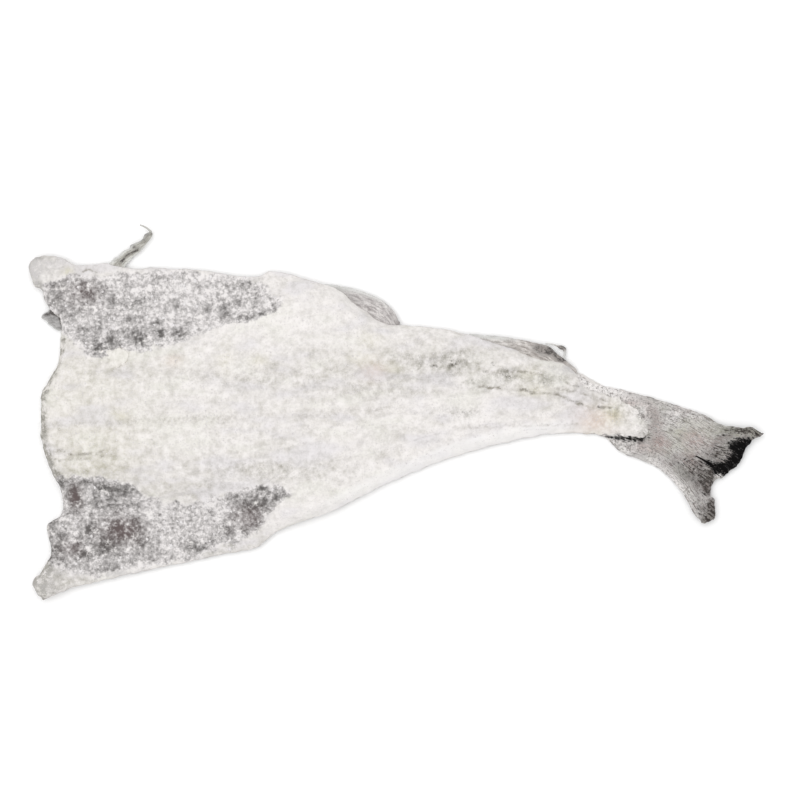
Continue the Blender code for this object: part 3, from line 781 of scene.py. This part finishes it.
# ---- pieces ----
def make_flesh(sizes):
    edges = body_edges([*UPPER_EDGE[:-3], *FLESH_TONGUE])  # short of the strip of bare skin at the rear

    def shape(s, t, points, distance):
        depth, crease_shade_share = creases(points)
        lining_depth = np.maximum(inside(points, UPPER_LINING), inside(points, LOWER_LINING))
        lining = ramp(lining_depth + 0.0045 * lumps(points, 0.010, 21.0), -0.0025, 0.0045)
        crust = lumps(points, 0.0065, 13.0, 4)
        crumbly = 0.45 + 0.55 * ramp(s, 0.30, 0.50)
        relief = (
            sizes.swell * lumps(points, 0.050, 5.0) * (0.4 + 0.6 * muscle_share(s, t))
            + sizes.fibre * lumps(points, (0.020, 0.0034), 9.0) * (1.0 - lining)
            + sizes.crumbs * crumbly * (np.abs(lumps(points, 0.0110, 19.0)) - 0.3) * (1.0 - lining)
            + sizes.crust * crust * (0.5 + 0.5 * lining)
            - depth
        )
        sole = body_sole(s, t)
        body = sole + body_thickness(s, t, distance) - sizes.salt_room
        ground = level_of("tail", points)
        lap = ground + sizes.tongue * rounded(distance, 0.006, 0.15, 1.0)
        laid = ramp(s, 0.86, 0.93) * (ground > 0.0)
        top = body * (1.0 - laid) + np.maximum(lap, sole + 0.002) * laid
        top = np.maximum(top, np.where(ground > 0.0, lap, 0.0)) + relief * ramp(distance, 0.0, 0.004)

        to_lower, to_neck, to_tip = (distance_to([edges[side]], points) for side in (0, 2, 3))
        uneven = np.clip(1.0 - 0.9 * crust, 0.2, 2.2)
        bare = 0.10 + 0.09 * ramp(lining_depth, 0.0, 0.008) + 1.28 * spots(points, BARE_LINING)
        bare = np.clip(bare, 0.03, 1.1)
        rim = 0.9 * ramp(to_tip, 0.0065, 0.0015) * (1.0 - crust)
        # painted shade: grey along the neck's cut edge, where its side slopes down
        rim += ramp(to_neck, 0.0095, 0.0010) * (1.0 - 0.6 * crust)
        grey = np.clip(0.55 * spots(points, GREY_FLESH) + 0.8 * rim, 0.0, 1.0)
        marks = {
            "lining": lining,
            # painted light along the lower rear edge, where the flesh slopes away from the lamp
            "frost_and_painted_light": 0.48 * ramp(to_lower, 0.0150, 0.0090) * ramp(s, 0.42, 0.52) * ramp(s, 0.92, 0.82),
            "bare": bare - 0.06 * crust,
            "damp": np.clip(0.18 + 0.45 * spots(points, DAMP_FLESH), 0.05, 1.0) * uneven,
            "grey": np.minimum(grey * uneven, 0.75),
            # painted shade at the bottoms of the creases
            "crease_shade": crease_shade_share,
            "salt": ramp(distance, 0.002, 0.008) * np.clip(1.0 - 2.3 * bare * lining, 0.0, 1.0),
            "buried": lining * np.clip(0.9 - 1.6 * bare, 0.0, 1.0),
            **stained(points, FLESH_STAINS),
        }
        return sole + 0.5 * sizes.skin_thickness, top, marks

    return make_sheet("flesh", edges, sizes.flesh_cells, shape, 3, sizes.skin_rim, (0.0010, 0.0048))


def make_skin(sizes):
    def shape(s, t, points, distance):
        underside = body_sole(s, t)
        top = underside + sizes.skin_thickness * rounded(distance, 0.002, 0.5, 1.0)
        sides = hump(np.abs(2.0 * t - 1.0), 0.46, 0.030) * ramp(s, 0.02, 0.10)
        return underside, top, {"lateral": 0.7 * sides, "powder": 0.15 + ramp(distance, 0.006, 0.002)}

    return make_sheet("skin", body_edges(), sizes.skin_cells, shape, ragged=(0.0012, 0.0012))


def make_tail(sizes):
    lower, upper, end = (smooth_line(line) for line in (TAIL_LOWER, TAIL_UPPER, TAIL_END))

    def shape(s, t, points, distance):
        fin = ramp(s, 0.42, 0.66)
        underside = 0.0006 + 0.0050 * ramp(s, 0.55, 1.0) * (0.35 + 0.65 * np.abs(2.0 * t - 1.0))
        reach = TAIL_ROUNDING + (FIN_ROUNDING - TAIL_ROUNDING) * ramp(s, 0.4, 0.8)
        edge_distance = distance_to([lower, upper, end], points)
        thickness = HEIGHT * rounded(edge_distance, reach, 0.05, between(s, TAIL_PROFILE))
        phase = TURN * sizes.tail_rays * (t + 0.010 * lumps(points, 0.020, 33.0))
        split = ramp(s, 0.74, 0.86)
        rays = (np.cos(phase) * (1.0 - split) + np.cos(2.0 * phase) * split) * fin
        crack = 0.9 * nearness(TAIL_CRACK, points, 0.0006 + 0.0014 * ramp(s, 0.80, 0.90))
        gaping = (0.0009 + 0.0018 * ramp(s, 0.30, 0.42)) * (1.0 + 0.7 * lumps(points, 0.0024, 95.0))
        gap_and_shadow = nearness(TONGUE_GAP_SHADOW, points, gaping)
        black = np.maximum(np.clip(0.5 + inside(points, TAIL_BLACK) / 0.009, 0.0, 1.0), crack)
        folds = np.abs(lumps(points, (0.012, 0.006), 37.0)) - 0.3
        relief = sizes.ray_height * rays + 0.0009 * folds * (1.0 - 0.6 * fin)
        relief -= 0.0014 * ramp(black, 0.45, 0.85) + 0.001 * gap_and_shadow
        top = underside + thickness + relief * ramp(edge_distance, 0.0, 0.003)
        rim = ramp(distance_to([lower], points), 0.0070, 0.0030) * ramp(s, 0.36, 0.50) * ramp(s, 0.85, 0.70)
        marks = {
            "along": s * 0.20,
            "across": t * 0.12,
            "fin": fin,
            # the black mark holds the fin's own black and the painted shadow along the gap under the flesh
            "black": np.maximum(black, gap_and_shadow * (0.66 + 0.5 * lumps(points, (0.0020, 0.0060), 97.0))),
            "dark": np.clip(spots(points, TAIL_DARK), 0.0, 1.3),
            "pale": np.clip(spots(points, TAIL_PALE) + 0.6 * rim, 0.0, 1.0),
            **stained(points, TAIL_STAINS),
        }
        return underside, np.maximum(top, underside + 0.0004), marks

    edges = [lower, upper, straight_line(lower(0.0), upper(0.0)), end]
    return make_sheet("tail", edges, sizes.tail_cells, shape, 1, ragged=(0.0007, 0.0014))


def make_anal_fin(name, landmarks, pale_until, pale_root, sizes):
    """A fin folded back along the flesh: its rays run along it, and its rim is pale up to a share of it."""
    outer = smooth_line(landmarks)
    inset = np.array(FIN_ROOT) / 1000.0 * (LENGTH, BREADTH)
    root = straight_line(outer(0.0) + inset, outer(1.0) + inset)
    front, back = (straight_line(root(end), outer(end)) for end in (0.0, 1.0))

    def shape(s, t, points, distance):
        underside = 0.0018 * (1.0 + t)
        edge_distance = distance_to([outer, back], points)
        thickness = HEIGHT * rounded(edge_distance, FIN_ROUNDING, 0.035, 0.08 * (1.0 - 0.35 * t))
        sway = 0.03 * lumps(points, 0.030, 51.0)
        rays = np.cos(TURN * sizes.anal_rays * (t + sway + 0.25 * s * (1.0 - s)))
        top = underside + thickness + sizes.ray_height * 0.8 * rays * ramp(edge_distance, 0.0, 0.002)
        pale = 0.8 * ramp(edge_distance, 0.0045, 0.0010) * ramp(s, pale_until + 0.15, pale_until - 0.15)
        pale += pale_until * ramp(s, 0.55, 0.15) + pale_root * ramp(t, 0.80, 0.45) * ramp(s, 0.60, 0.40)
        marks = {
            "along": s * 0.09,
            "across": (t + sway) * 0.02,
            "pale": np.clip(pale, 0.0, 1.0),
            "dark": np.clip(spots(points, FIN_DARK), 0.0, 1.4),
        }
        return underside, np.maximum(top, underside + LEAST), marks

    return make_sheet(name, [root, outer, front, back], (60, 16), shape, 1, ragged=(0.0006, 0.0010))


def blade_edges(landmarks, widths):
    """The two sides, root and tip of a blade whose width varies along a line."""
    shares = np.linspace(0.0, 1.0, 120)
    middle = smooth_line(landmarks)(shares)
    ahead = np.gradient(middle, axis=0)
    across = np.stack((-ahead[:, 1], ahead[:, 0]), axis=1) / np.linalg.norm(ahead, axis=1)[:, None]
    half = 0.5 * between(shares, widths)[:, None] * across
    right, left = line_through(middle - half), line_through(middle + half)
    return [right, left, *(straight_line(right(end), left(end)) for end in (0.0, 1.0))]


def pelvic_level(points):
    """The underside of the pelvic fin, which rises towards its tip."""
    root, tip = placed([(0, 880), (0, 975)])[:, 1]
    return 0.0020 + 0.0040 * ramp(points[:, 1], root, tip)


def make_pelvic_fin():
    """A folded blade of a few rays, with an open slit between two of them."""

    def shape(s, t, points, distance):
        underside = pelvic_level(points)
        rays = np.cos(TURN * 4.0 * (t + 0.05 * lumps(points, 0.010, 61.0)))
        slit = nearness(PELVIC_SLIT, points, 0.0011)
        top = underside + HEIGHT * 0.085 * (1.0 - 0.45 * s) + 0.0004 * rays
        top += 0.0005 * lumps(points, 0.004, 63.0) - 0.0014 * slit
        marks = {
            "along": s * 0.06,
            "across": t * 0.009,
            "pale": 0.8 * ramp(t, 0.70, 0.9) + 0.7 * ramp(t, 0.3, 0.0),
            "dark": np.clip(0.9 * slit + 0.8 * spots(points, PELVIC_DARK), 0.0, 1.0),
        }
        return underside, np.maximum(top, underside + 0.0004), marks

    edges = [smooth_line(edge) for edge in PELVIC_EDGES]
    return make_sheet("pelvic_fin", edges, (60, 12), shape, 1, ragged=(0.0006, 0.0006))


def make_loose_ray():
    """The one ray that hooks off the tip of the pelvic fin."""

    def shape(s, t, points, distance):
        underside = pelvic_level(points) + 0.0002
        top = underside + 0.0012 * rounded(distance, 0.0006, 0.35, 1.0)
        return underside, top, {"along": s * 0.02, "across": t * 0.002, "pale": 0.3, "dark": 0.25 * (1.0 - s)}

    edges = blade_edges(LOOSE_RAY, [(0.0, 0.0022), (0.4, 0.0017), (1.0, 0.0012)])
    return make_sheet("loose_pelvic_ray", edges, (40, 4), shape, ragged=(0.0003, 0.0003))


def make_torn_loop():
    """The torn border that still frames a hole behind the second anal fin."""

    def shape(s, t, points, distance):
        underside = 0.0030 + 0.0004 * s
        top = underside + 0.0011 * rounded(distance, 0.0006, 0.35, 1.0)
        marks = {
            "along": s * 0.03,
            "across": t * 0.002,
            "pale": ramp(s, 0.6, 0.8) + 0.7 * ramp(s, 0.42, 0.15),
            "dark": 0.7 * ramp(s, 0.30, 0.52) * (1.0 - 0.8 * ramp(s, 0.58, 0.75)),
        }
        return underside, top, marks

    widths = [(0.0, 0.0009), (0.36, 0.0011), (0.52, 0.0038), (0.62, 0.0034), (0.80, 0.0020), (1.0, 0.0012)]
    edges = blade_edges(TORN_LOOP, widths)
    return make_sheet("torn_fin_edge", edges, (40, 4), shape, ragged=(0.0003, 0.0003))


def make_neck_shred():
    """The dark shred of lining that hangs out of the neck."""

    def shape(s, t, points, distance):
        underside = 0.0015 + 0.001 * s
        folds = np.abs(lumps(points, 0.0050, 71.0))
        top = underside + HEIGHT * rounded(distance, 0.0020, 0.03, 0.07)
        top += 0.0010 * folds * ramp(distance, 0.0, 0.002)
        dark = 1.5 * spots(points, SHRED_DARK) + 0.5 * np.abs(lumps(points, 0.0022, 75.0))
        marks = {
            "along": s * 0.02,
            "across": t * 0.02,
            "pale": 0.5 * ramp(distance, 0.0015, 0.0005),
            "dark": np.clip(dark, 0.0, 1.2),
        }
        return underside, np.maximum(top, underside + LEAST), marks

    edges = [smooth_line(edge) for edge in SHRED_EDGES]
    return make_sheet("neck_shred", edges, (24, 22), shape, 1, ragged=(0.0014, 0.0014))


def make_flake():
    """The cream flake torn up beside the upper lining: one end still grows on the flesh."""

    def shape(s, t, points, distance):
        ground = level_of("flesh", points)
        loose = ramp(s + 0.5 * t, 0.55, 1.0)
        top = ground - 0.0005 + (0.0007 + 0.0016 * rounded(distance, 0.003, 0.3, 1.0)) * loose
        top += 0.0007 * lumps(points, 0.0045, 81.0)
        return ground - 0.0012, top, {"damp": 0.06 + 0.08 * s, "yellow": 0.16}

    edges = [smooth_line(edge) for edge in FLAKE_EDGES]
    return make_sheet("cream_flake", edges, (30, 22), shape, 1, ragged=(0.0030, 0.0030))


# ---- salt ----
def grain_shape(name, sides, flatness, rough, seed):
    """A crystal or a plate of crust 1 metre across, sunk a little, to be scaled where it lies."""
    noise.seed_set(GRAIN_SEED)
    bm = bmesh.new()
    bmesh.ops.create_cone(bm, cap_ends=True, segments=sides, radius1=0.5, radius2=0.36, depth=flatness)
    for vert in bm.verts:
        knob = noise.noise_vector(vert.co * 3.7 + Vector((seed * 7.3, 0.0, 0.0)))
        vert.co += knob * Vector((rough, rough, 0.5 * flatness))
        vert.co.z -= 0.15 * flatness
    mesh = bpy.data.meshes.new(name)
    bm.to_mesh(mesh)
    bm.free()
    return bpy.data.objects.new(name, mesh)


def scatter_tree(name, grounds, mark, grains, density, sizes, tumble, seed):
    """Geometry nodes that strew grains over the tops of the grounds, as one of their marks says."""
    tree = bpy.data.node_groups.new(name, "GeometryNodeTree")
    tree.interface.new_socket("Geometry", in_out="OUTPUT", socket_type="NodeSocketGeometry")
    nodes = Nodes(tree)
    read = nodes.read
    ground = nodes.node("GeometryNodeJoinGeometry")
    for piece in grounds:
        surface = nodes.node("GeometryNodeObjectInfo", {"transform_space": "RELATIVE"}, {"Object": piece})
        tree.links.new(surface.outputs["Geometry"], ground.inputs[0])
    share = read("GeometryNodeInputNamedAttribute", {"data_type": "FLOAT"}, {"Name": mark})
    facing = read("ShaderNodeSeparateXYZ", None, {0: read("GeometryNodeInputNormal")}, "Z")
    crowd = share * nodes.math("GREATER_THAN", facing, 0.2) * density
    strewn = nodes.node(
        "GeometryNodeDistributePointsOnFaces",
        {"distribute_method": "RANDOM"},
        {"Mesh": ground.outputs[0], "Density": crowd, "Seed": seed},
    )
    choice = {"Collection": grains, "Separate Children": True, "Reset Children": True}
    kinds = read("GeometryNodeCollectionInfo", None, choice)
    span_range = {"Min": sizes[0], "Max": sizes[1], "Seed": seed + 1}
    span = read("FunctionNodeRandomValue", {"data_type": "FLOAT"}, span_range, 1)
    spin_range = {0: (-tumble, -tumble, -math.pi), 1: (tumble, tumble, math.pi), "Seed": seed + 2}
    spin = read("FunctionNodeRandomValue", {"data_type": "FLOAT_VECTOR"}, spin_range)
    placing = {
        "Points": strewn.outputs["Points"],
        "Instance": kinds,
        "Pick Instance": True,
        "Rotation": strewn.outputs["Rotation"],
        "Scale": span,
    }
    copies = read("GeometryNodeInstanceOnPoints", None, placing)
    turned = read("GeometryNodeRotateInstances", None, {"Instances": copies, "Rotation": spin})
    nodes.node("NodeGroupOutput", None, {0: read("GeometryNodeRealizeInstances", None, {0: turned})})
    return tree


def scatter(name, grounds, mark, shapes, *settings):
    """Strews copies of some shapes over the tops of the grounds, and keeps them as one mesh."""
    grains = bpy.data.collections.new(name + "_shapes")
    for shape in shapes:
        grains.objects.link(shape)
    tree = scatter_tree(name, grounds, mark, grains, *settings)
    host = bpy.data.objects.new(name, bpy.data.meshes.new(name + "_host"))
    bpy.context.scene.collection.objects.link(host)
    host.modifiers.new("scatter", "NODES").node_group = tree
    mesh = bpy.data.meshes.new_from_object(host.evaluated_get(bpy.context.evaluated_depsgraph_get()))
    for spare in [a.name for a in mesh.attributes if not (a.is_required or a.is_internal)]:
        mesh.attributes.remove(mesh.attributes[spare])
    mesh.name = name
    for spare in (host, *shapes):
        bpy.data.objects.remove(spare)
    bpy.data.node_groups.remove(tree)
    bpy.data.collections.remove(grains)
    return bpy.data.objects.new(name, mesh)


# ---- stage ----
def make_studio(settings):
    """A pale floor, soft light mostly from the far side, and a camera that looks straight down."""
    scene = bpy.context.scene
    scene.view_settings.view_transform = "Standard"
    bm = bmesh.new()
    bmesh.ops.create_grid(bm, x_segments=1, y_segments=1, size=8.0)
    mesh = bpy.data.meshes.new("floor")
    bm.to_mesh(mesh)
    bm.free()
    floor = bpy.data.objects.new("floor", mesh)
    scene.collection.objects.link(floor)
    finish = Finish("floor", 0.9, settings.floor)
    finish.inputs["Base Color"].default_value = (*settings.floor, 1.0)
    floor.data.materials.append(finish.material)

    world = bpy.data.worlds.new("studio")
    world.use_nodes = True
    sky = world.node_tree.nodes["Background"].inputs
    sky["Color"].default_value = (1.0, 1.0, 1.0, 1.0)
    sky["Strength"].default_value = settings.sky
    scene.world = world

    middle = Vector(((LOW.x + HIGH.x) / 2, (LOW.y + HIGH.y) / 2, 0.0))
    lamp = bpy.data.lights.new("softbox", "AREA")
    lamp.shape, lamp.size, lamp.size_y = "RECTANGLE", 2.4, 1.8
    lamp.energy = settings.lamp
    softbox = bpy.data.objects.new("softbox", lamp)
    softbox.location = middle + Vector(settings.lamp_place)
    softbox.rotation_euler = (middle - softbox.location).to_track_quat("-Z", "Y").to_euler()
    scene.collection.objects.link(softbox)

    lens = bpy.data.cameras.new("camera")
    lens.lens = lens.sensor_width * settings.camera_height / settings.view_width
    lens.clip_end = 20.0
    camera = bpy.data.objects.new("camera", lens)
    camera.location = (*settings.camera_centre, settings.camera_height)
    scene.collection.objects.link(camera)
    scene.camera = camera


# ---- sizes and colours ----
def length_prop(name, description, default):
    return bpy.props.FloatProperty(
        name=name,
        description=description,
        default=default,
        min=0.0,
        precision=5,
        subtype="DISTANCE",
        unit="LENGTH",
    )


def number_prop(name, description, default, unit="NONE"):
    return bpy.props.FloatProperty(name=name, description=description, default=default, min=0.0, unit=unit)


def cells_prop(name, description, default):
    return bpy.props.IntVectorProperty(name=name, description=description, default=default, size=2, min=2)


def place_prop(name, description, default):
    return bpy.props.FloatVectorProperty(
        name=name,
        description=description,
        default=default,
        size=len(default),
        subtype="TRANSLATION",
        unit="LENGTH",
    )


def colour_prop(name, description, code):
    return bpy.props.FloatVectorProperty(
        name=name, description=description, default=tint(code), size=3, min=0.0, max=1.0, subtype="COLOR"
    )


class CodSizes(bpy.types.PropertyGroup):
    """Relief and fineness of the pieces."""

    salt_room: length_prop("Salt room", "How far the flesh lies under the solid's top", 0.0006)
    skin_thickness: length_prop("Skin thickness", "Thickness of the dried skin", 0.0012)
    skin_rim: length_prop("Skin rim", "How far the skin shows round the flesh", 0.0003)
    swell: length_prop("Swell", "Height of the broad hollows and swells of the flesh", 0.0008)
    fibre: length_prop("Fibre", "Height of the long fibres of the flesh", 0.00025)
    crust: length_prop("Crust", "Height of the salt crust", 0.0007)
    crumbs: length_prop("Crumbs", "Height of the crumbs that break up the flesh", 0.0010)
    tongue: length_prop("Tongue", "Thickness of the flesh that lies over the tail", 0.0018)
    ray_height: length_prop("Rays", "Height of the fin rays", 0.00030)
    flesh_cells: cells_prop("Flesh cells", "Coarse cells of the flesh along and across", (107, 53))
    skin_cells: cells_prop("Skin cells", "Cells of the skin along and across", (150, 90))
    tail_cells: cells_prop("Tail cells", "Coarse cells of the tail along and across", (110, 110))
    tail_rays: bpy.props.IntProperty(name="Tail rays", description="Rays in the tail fin", default=34, min=4)
    anal_rays: bpy.props.IntProperty(name="Anal fin rays", description="Rays seen in a fin", default=7, min=2)
    fine_salt: number_prop("Fine salt", "Fine grains per square metre", 170000.0)
    coarse_salt: number_prop("Coarse salt", "Coarse grains per square metre", 30000.0)
    salt_crusts: number_prop("Salt crusts", "Plates of crust per square metre", 13000.0)


class CodColours(bpy.types.PropertyGroup):
    """Colours of flesh, lining, skin, fins and salt."""

    flesh: colour_prop("Flesh", "Dry flesh where no powder lies", "A8A498")
    powder: colour_prop("Powder", "Salt powder on the flesh", "F0ECEA")
    cool_powder: colour_prop("Cool powder", "Bluish tinge of thick salt", "DDDAE2")
    green_flesh: colour_prop("Green flesh", "Greenish tinge of thin flesh", "D2D3C5")
    yellow_fat: colour_prop("Yellow fat", "Yellowed flesh", "D5D0B2")
    pink_flesh: colour_prop("Pink flesh", "Flesh stained by blood", "D9C6B9")
    # painted light: near-white that lightens the lower rear edge of the flesh, where it slopes away from the
    # lamp
    frost_and_painted_light: colour_prop("Frost", "Thick salt along the lower edge", "FFFEFD")
    # also paints the shade along the neck's cut edge
    grey_flesh_and_shade: colour_prop("Grey flesh", "Dark muscle along the sides", "8E8B83")
    # painted shade at the bottom of a crease
    crease_shade: colour_prop("Crease", "Bottom of a crease", "9B968C")
    speck: colour_prop("Specks", "Dark specks on the flesh", "605C55")
    pale_skin: colour_prop("Pale skin", "Bare skin at the edges", "C6C3C2")
    lining: colour_prop("Lining", "Dark lining of the belly", "595654")
    blood_lining: colour_prop("Blood-stained lining", "Lining stained by old blood", "5F5352")
    salted_lining: colour_prop("Salted lining", "Lining under a film of salt", "E6E2E1")
    skin: colour_prop("Skin", "Skin", "A09C93")
    skin_dark: colour_prop("Dark skin", "Dark blotches of the skin", "6E6A5E")
    skin_pale: colour_prop("Lateral line", "Lateral line", "D3CFC8")
    tail_pale: colour_prop("Frosted tail", "Tail skin under salt", "E4E1DF")
    tail_dark: colour_prop("Bare tail", "Tail skin between the salt", "807B78")
    pink_skin: colour_prop("Pink skin", "Pinkish skin of the tail", "AE9C97")
    green_skin: colour_prop("Green skin", "Greenish skin of the tail", "B6B6A6")
    fin_dark: colour_prop("Dark fin", "Dark stains on the fins", "4A4542")
    # also paints the shadow under the flesh's edge where it lies over the tail
    fin_black_and_shadow: colour_prop("Black fin", "Black torn edge of the tail fin", "0B0A0A")
    first_fin: colour_prop("First anal fin", "Membrane of the first anal fin", "DDD9D7")
    first_fin_line: colour_prop("First fin lines", "Lines between the first fin's rays", "979190")
    second_fin: colour_prop("Second anal fin", "Membrane of the second anal fin", "DAD5D1")
    second_fin_line: colour_prop("Second fin lines", "Lines between the second fin's rays", "8C847F")
    fin_edge: colour_prop("Fin edge", "Worn edges of the fins", "D9D9D6")
    pelvic: colour_prop("Pelvic fin", "Membrane of the pelvic fin", "DAD9D2")
    pelvic_line: colour_prop("Pelvic lines", "Lines between the rays of the pelvic fin", "8F8B83")
    shred: colour_prop("Shred", "Shred of lining at the neck", "C0BEBD")
    shred_line: colour_prop("Shred lines", "Creases of the shred of lining", "7C7A79")
    salt: colour_prop("Salt", "White salt", "E6E3E3")
    salt_grey: colour_prop("Grey salt", "Greyed salt", "CFCBCB")


class StudioSettings(bpy.types.PropertyGroup):
    """Floor, light and camera."""

    floor: colour_prop("Floor", "The floor", "FFFFFF")
    sky: number_prop("Sky", "Strength of the light all round", 0.805)
    lamp: number_prop("Softbox", "Power of the softbox in watts", 19.8, "POWER")
    lamp_place: place_prop("Softbox place", "The softbox, from the fish's middle", (-0.4, 0.30, 2.1))
    camera_height: length_prop("Camera height", "Height of the camera over the floor", 3.0)
    view_width: length_prop("View width", "Width that the camera sees on the floor", 0.7215)
    camera_centre: place_prop("View centre", "The spot on the floor under the camera", (0.0045, 0.01035))


# ---- operators ----
class AddSkin(bpy.types.Operator):
    """Add the skin that the fish lies on"""

    bl_idname = "cod.add_skin"
    bl_label = "Skin"
    bl_options = {"REGISTER", "UNDO"}

    def execute(self, context):
        sizes, colours = context.scene.cod_sizes, context.scene.cod_colours
        finish_piece(make_skin(sizes), skin_finish(colours))
        return {"FINISHED"}


class AddTail(bpy.types.Operator):
    """Add the tail stalk and the torn tail fin"""

    bl_idname = "cod.add_tail"
    bl_label = "Tail"
    bl_options = {"REGISTER", "UNDO"}

    def execute(self, context):
        sizes, colours = context.scene.cod_sizes, context.scene.cod_colours
        finish_piece(make_tail(sizes), tail_finish(colours))
        return {"FINISHED"}


class AddFlesh(bpy.types.Operator):
    """Add the split flesh with the lining of its belly flaps"""

    bl_idname = "cod.add_flesh"
    bl_label = "Flesh"
    bl_options = {"REGISTER", "UNDO"}

    def execute(self, context):
        sizes, colours = context.scene.cod_sizes, context.scene.cod_colours
        finish_piece(make_flesh(sizes), flesh_finish(colours))
        return {"FINISHED"}


class AddAnalFins(bpy.types.Operator):
    """Add both anal fins and the torn border behind the second one"""

    bl_idname = "cod.add_anal_fins"
    bl_label = "Anal fins"
    bl_options = {"REGISTER", "UNDO"}

    def execute(self, context):
        sizes, colours = context.scene.cod_sizes, context.scene.cod_colours
        first = fin_finish("first_fin", colours.first_fin, colours.first_fin_line, colours)
        second = fin_finish("second_fin", colours.second_fin, colours.second_fin_line, colours)
        finish_piece(make_anal_fin("first_anal_fin", FIRST_FIN, 0.75, 0.0, sizes), first)
        finish_piece(make_anal_fin("second_anal_fin", SECOND_FIN, 0.35, 0.45, sizes), second)
        finish_piece(make_torn_loop(), second)
        return {"FINISHED"}


class AddPelvicFin(bpy.types.Operator):
    """Add the pelvic fin with its hooked loose ray"""

    bl_idname = "cod.add_pelvic_fin"
    bl_label = "Pelvic fin"
    bl_options = {"REGISTER", "UNDO"}

    def execute(self, context):
        colours = context.scene.cod_colours
        material = fin_finish("pelvic_fin", colours.pelvic, colours.pelvic_line, colours)
        finish_piece(make_pelvic_fin(), material)
        finish_piece(make_loose_ray(), material)
        return {"FINISHED"}


class AddNeckShred(bpy.types.Operator):
    """Add the shred of lining that hangs out of the neck"""

    bl_idname = "cod.add_neck_shred"
    bl_label = "Neck shred"
    bl_options = {"REGISTER", "UNDO"}

    def execute(self, context):
        colours = context.scene.cod_colours
        material = fin_finish("neck_shred", colours.shred, colours.shred_line, colours)
        finish_piece(make_neck_shred(), material)
        return {"FINISHED"}


class AddFlake(bpy.types.Operator):
    """Add the torn cream flake beside the upper lining"""

    bl_idname = "cod.add_flake"
    bl_label = "Cream flake"
    bl_options = {"REGISTER", "UNDO"}

    def execute(self, context):
        finish_piece(make_flake(), bpy.data.objects["flesh"].data.materials[0])
        return {"FINISHED"}


class AddSalt(bpy.types.Operator):
    """Strew fine salt, coarse salt and clumps over the flesh"""

    bl_idname = "cod.add_salt"
    bl_label = "Salt"
    bl_options = {"REGISTER", "UNDO"}

    def execute(self, context):
        sizes = context.scene.cod_sizes
        material = salt_finish(context.scene.cod_colours)
        grounds = [bpy.data.objects[name] for name in ("flesh", "cream_flake")]
        kinds = [
            ("salt_fine", "salt", 4, 0.7, 0.15, sizes.fine_salt, (0.0004, 0.0009), 1.0, 11),
            ("salt_coarse", "salt", 5, 0.50, 0.30, sizes.coarse_salt, (0.0008, 0.0014), 0.4, 23),
            ("salt_crusts", "buried", 9, 0.16, 0.45, sizes.salt_crusts, (0.0018, 0.0040), 0.1, 37),
        ]
        for name, mark, sides, flatness, rough, *settings in kinds:
            shapes = [grain_shape(f"{name}_{index}", sides, flatness, rough, index) for index in range(4)]
            finish_piece(scatter(name, grounds, mark, shapes, *settings), material)
        return {"FINISHED"}


class AddStudio(bpy.types.Operator):
    """Set up the floor, the light and the camera"""

    bl_idname = "cod.add_studio"
    bl_label = "Floor, light and camera"
    bl_options = {"REGISTER", "UNDO"}

    def execute(self, context):
        make_studio(context.scene.cod_studio)
        return {"FINISHED"}


BUILDERS = (AddSkin, AddTail, AddFlesh, AddAnalFins, AddPelvicFin, AddNeckShred, AddFlake, AddSalt, AddStudio)


class CodPanel(bpy.types.Panel):
    """Lists the fish's pieces, sizes and colours"""

    bl_idname = "VIEW3D_PT_salted_cod"
    bl_label = "Salted Cod"
    bl_space_type = "VIEW_3D"
    bl_region_type = "UI"
    bl_category = "Salted Cod"

    def draw(self, context):
        for builder in BUILDERS:
            self.layout.operator(builder.bl_idname)
        for group in (context.scene.cod_sizes, context.scene.cod_colours, context.scene.cod_studio):
            box = self.layout.box()
            for name in group.bl_rna.properties.keys():
                if name not in ("rna_type", "name"):
                    box.prop(group, name)


CLASSES = (CodSizes, CodColours, StudioSettings, *BUILDERS, CodPanel)


def register():
    for item in CLASSES:
        bpy.utils.register_class(item)
    bpy.types.Scene.cod_sizes = bpy.props.PointerProperty(type=CodSizes)
    bpy.types.Scene.cod_colours = bpy.props.PointerProperty(type=CodColours)
    bpy.types.Scene.cod_studio = bpy.props.PointerProperty(type=StudioSettings)


def unregister():
    del bpy.types.Scene.cod_studio
    del bpy.types.Scene.cod_colours
    del bpy.types.Scene.cod_sizes
    for item in reversed(CLASSES):
        bpy.utils.unregister_class(item)


def main():
    register()
    for builder in BUILDERS:
        group, operator = builder.bl_idname.split(".")
        getattr(getattr(bpy.ops, group), operator)()


if __name__ == "__main__":
    main()
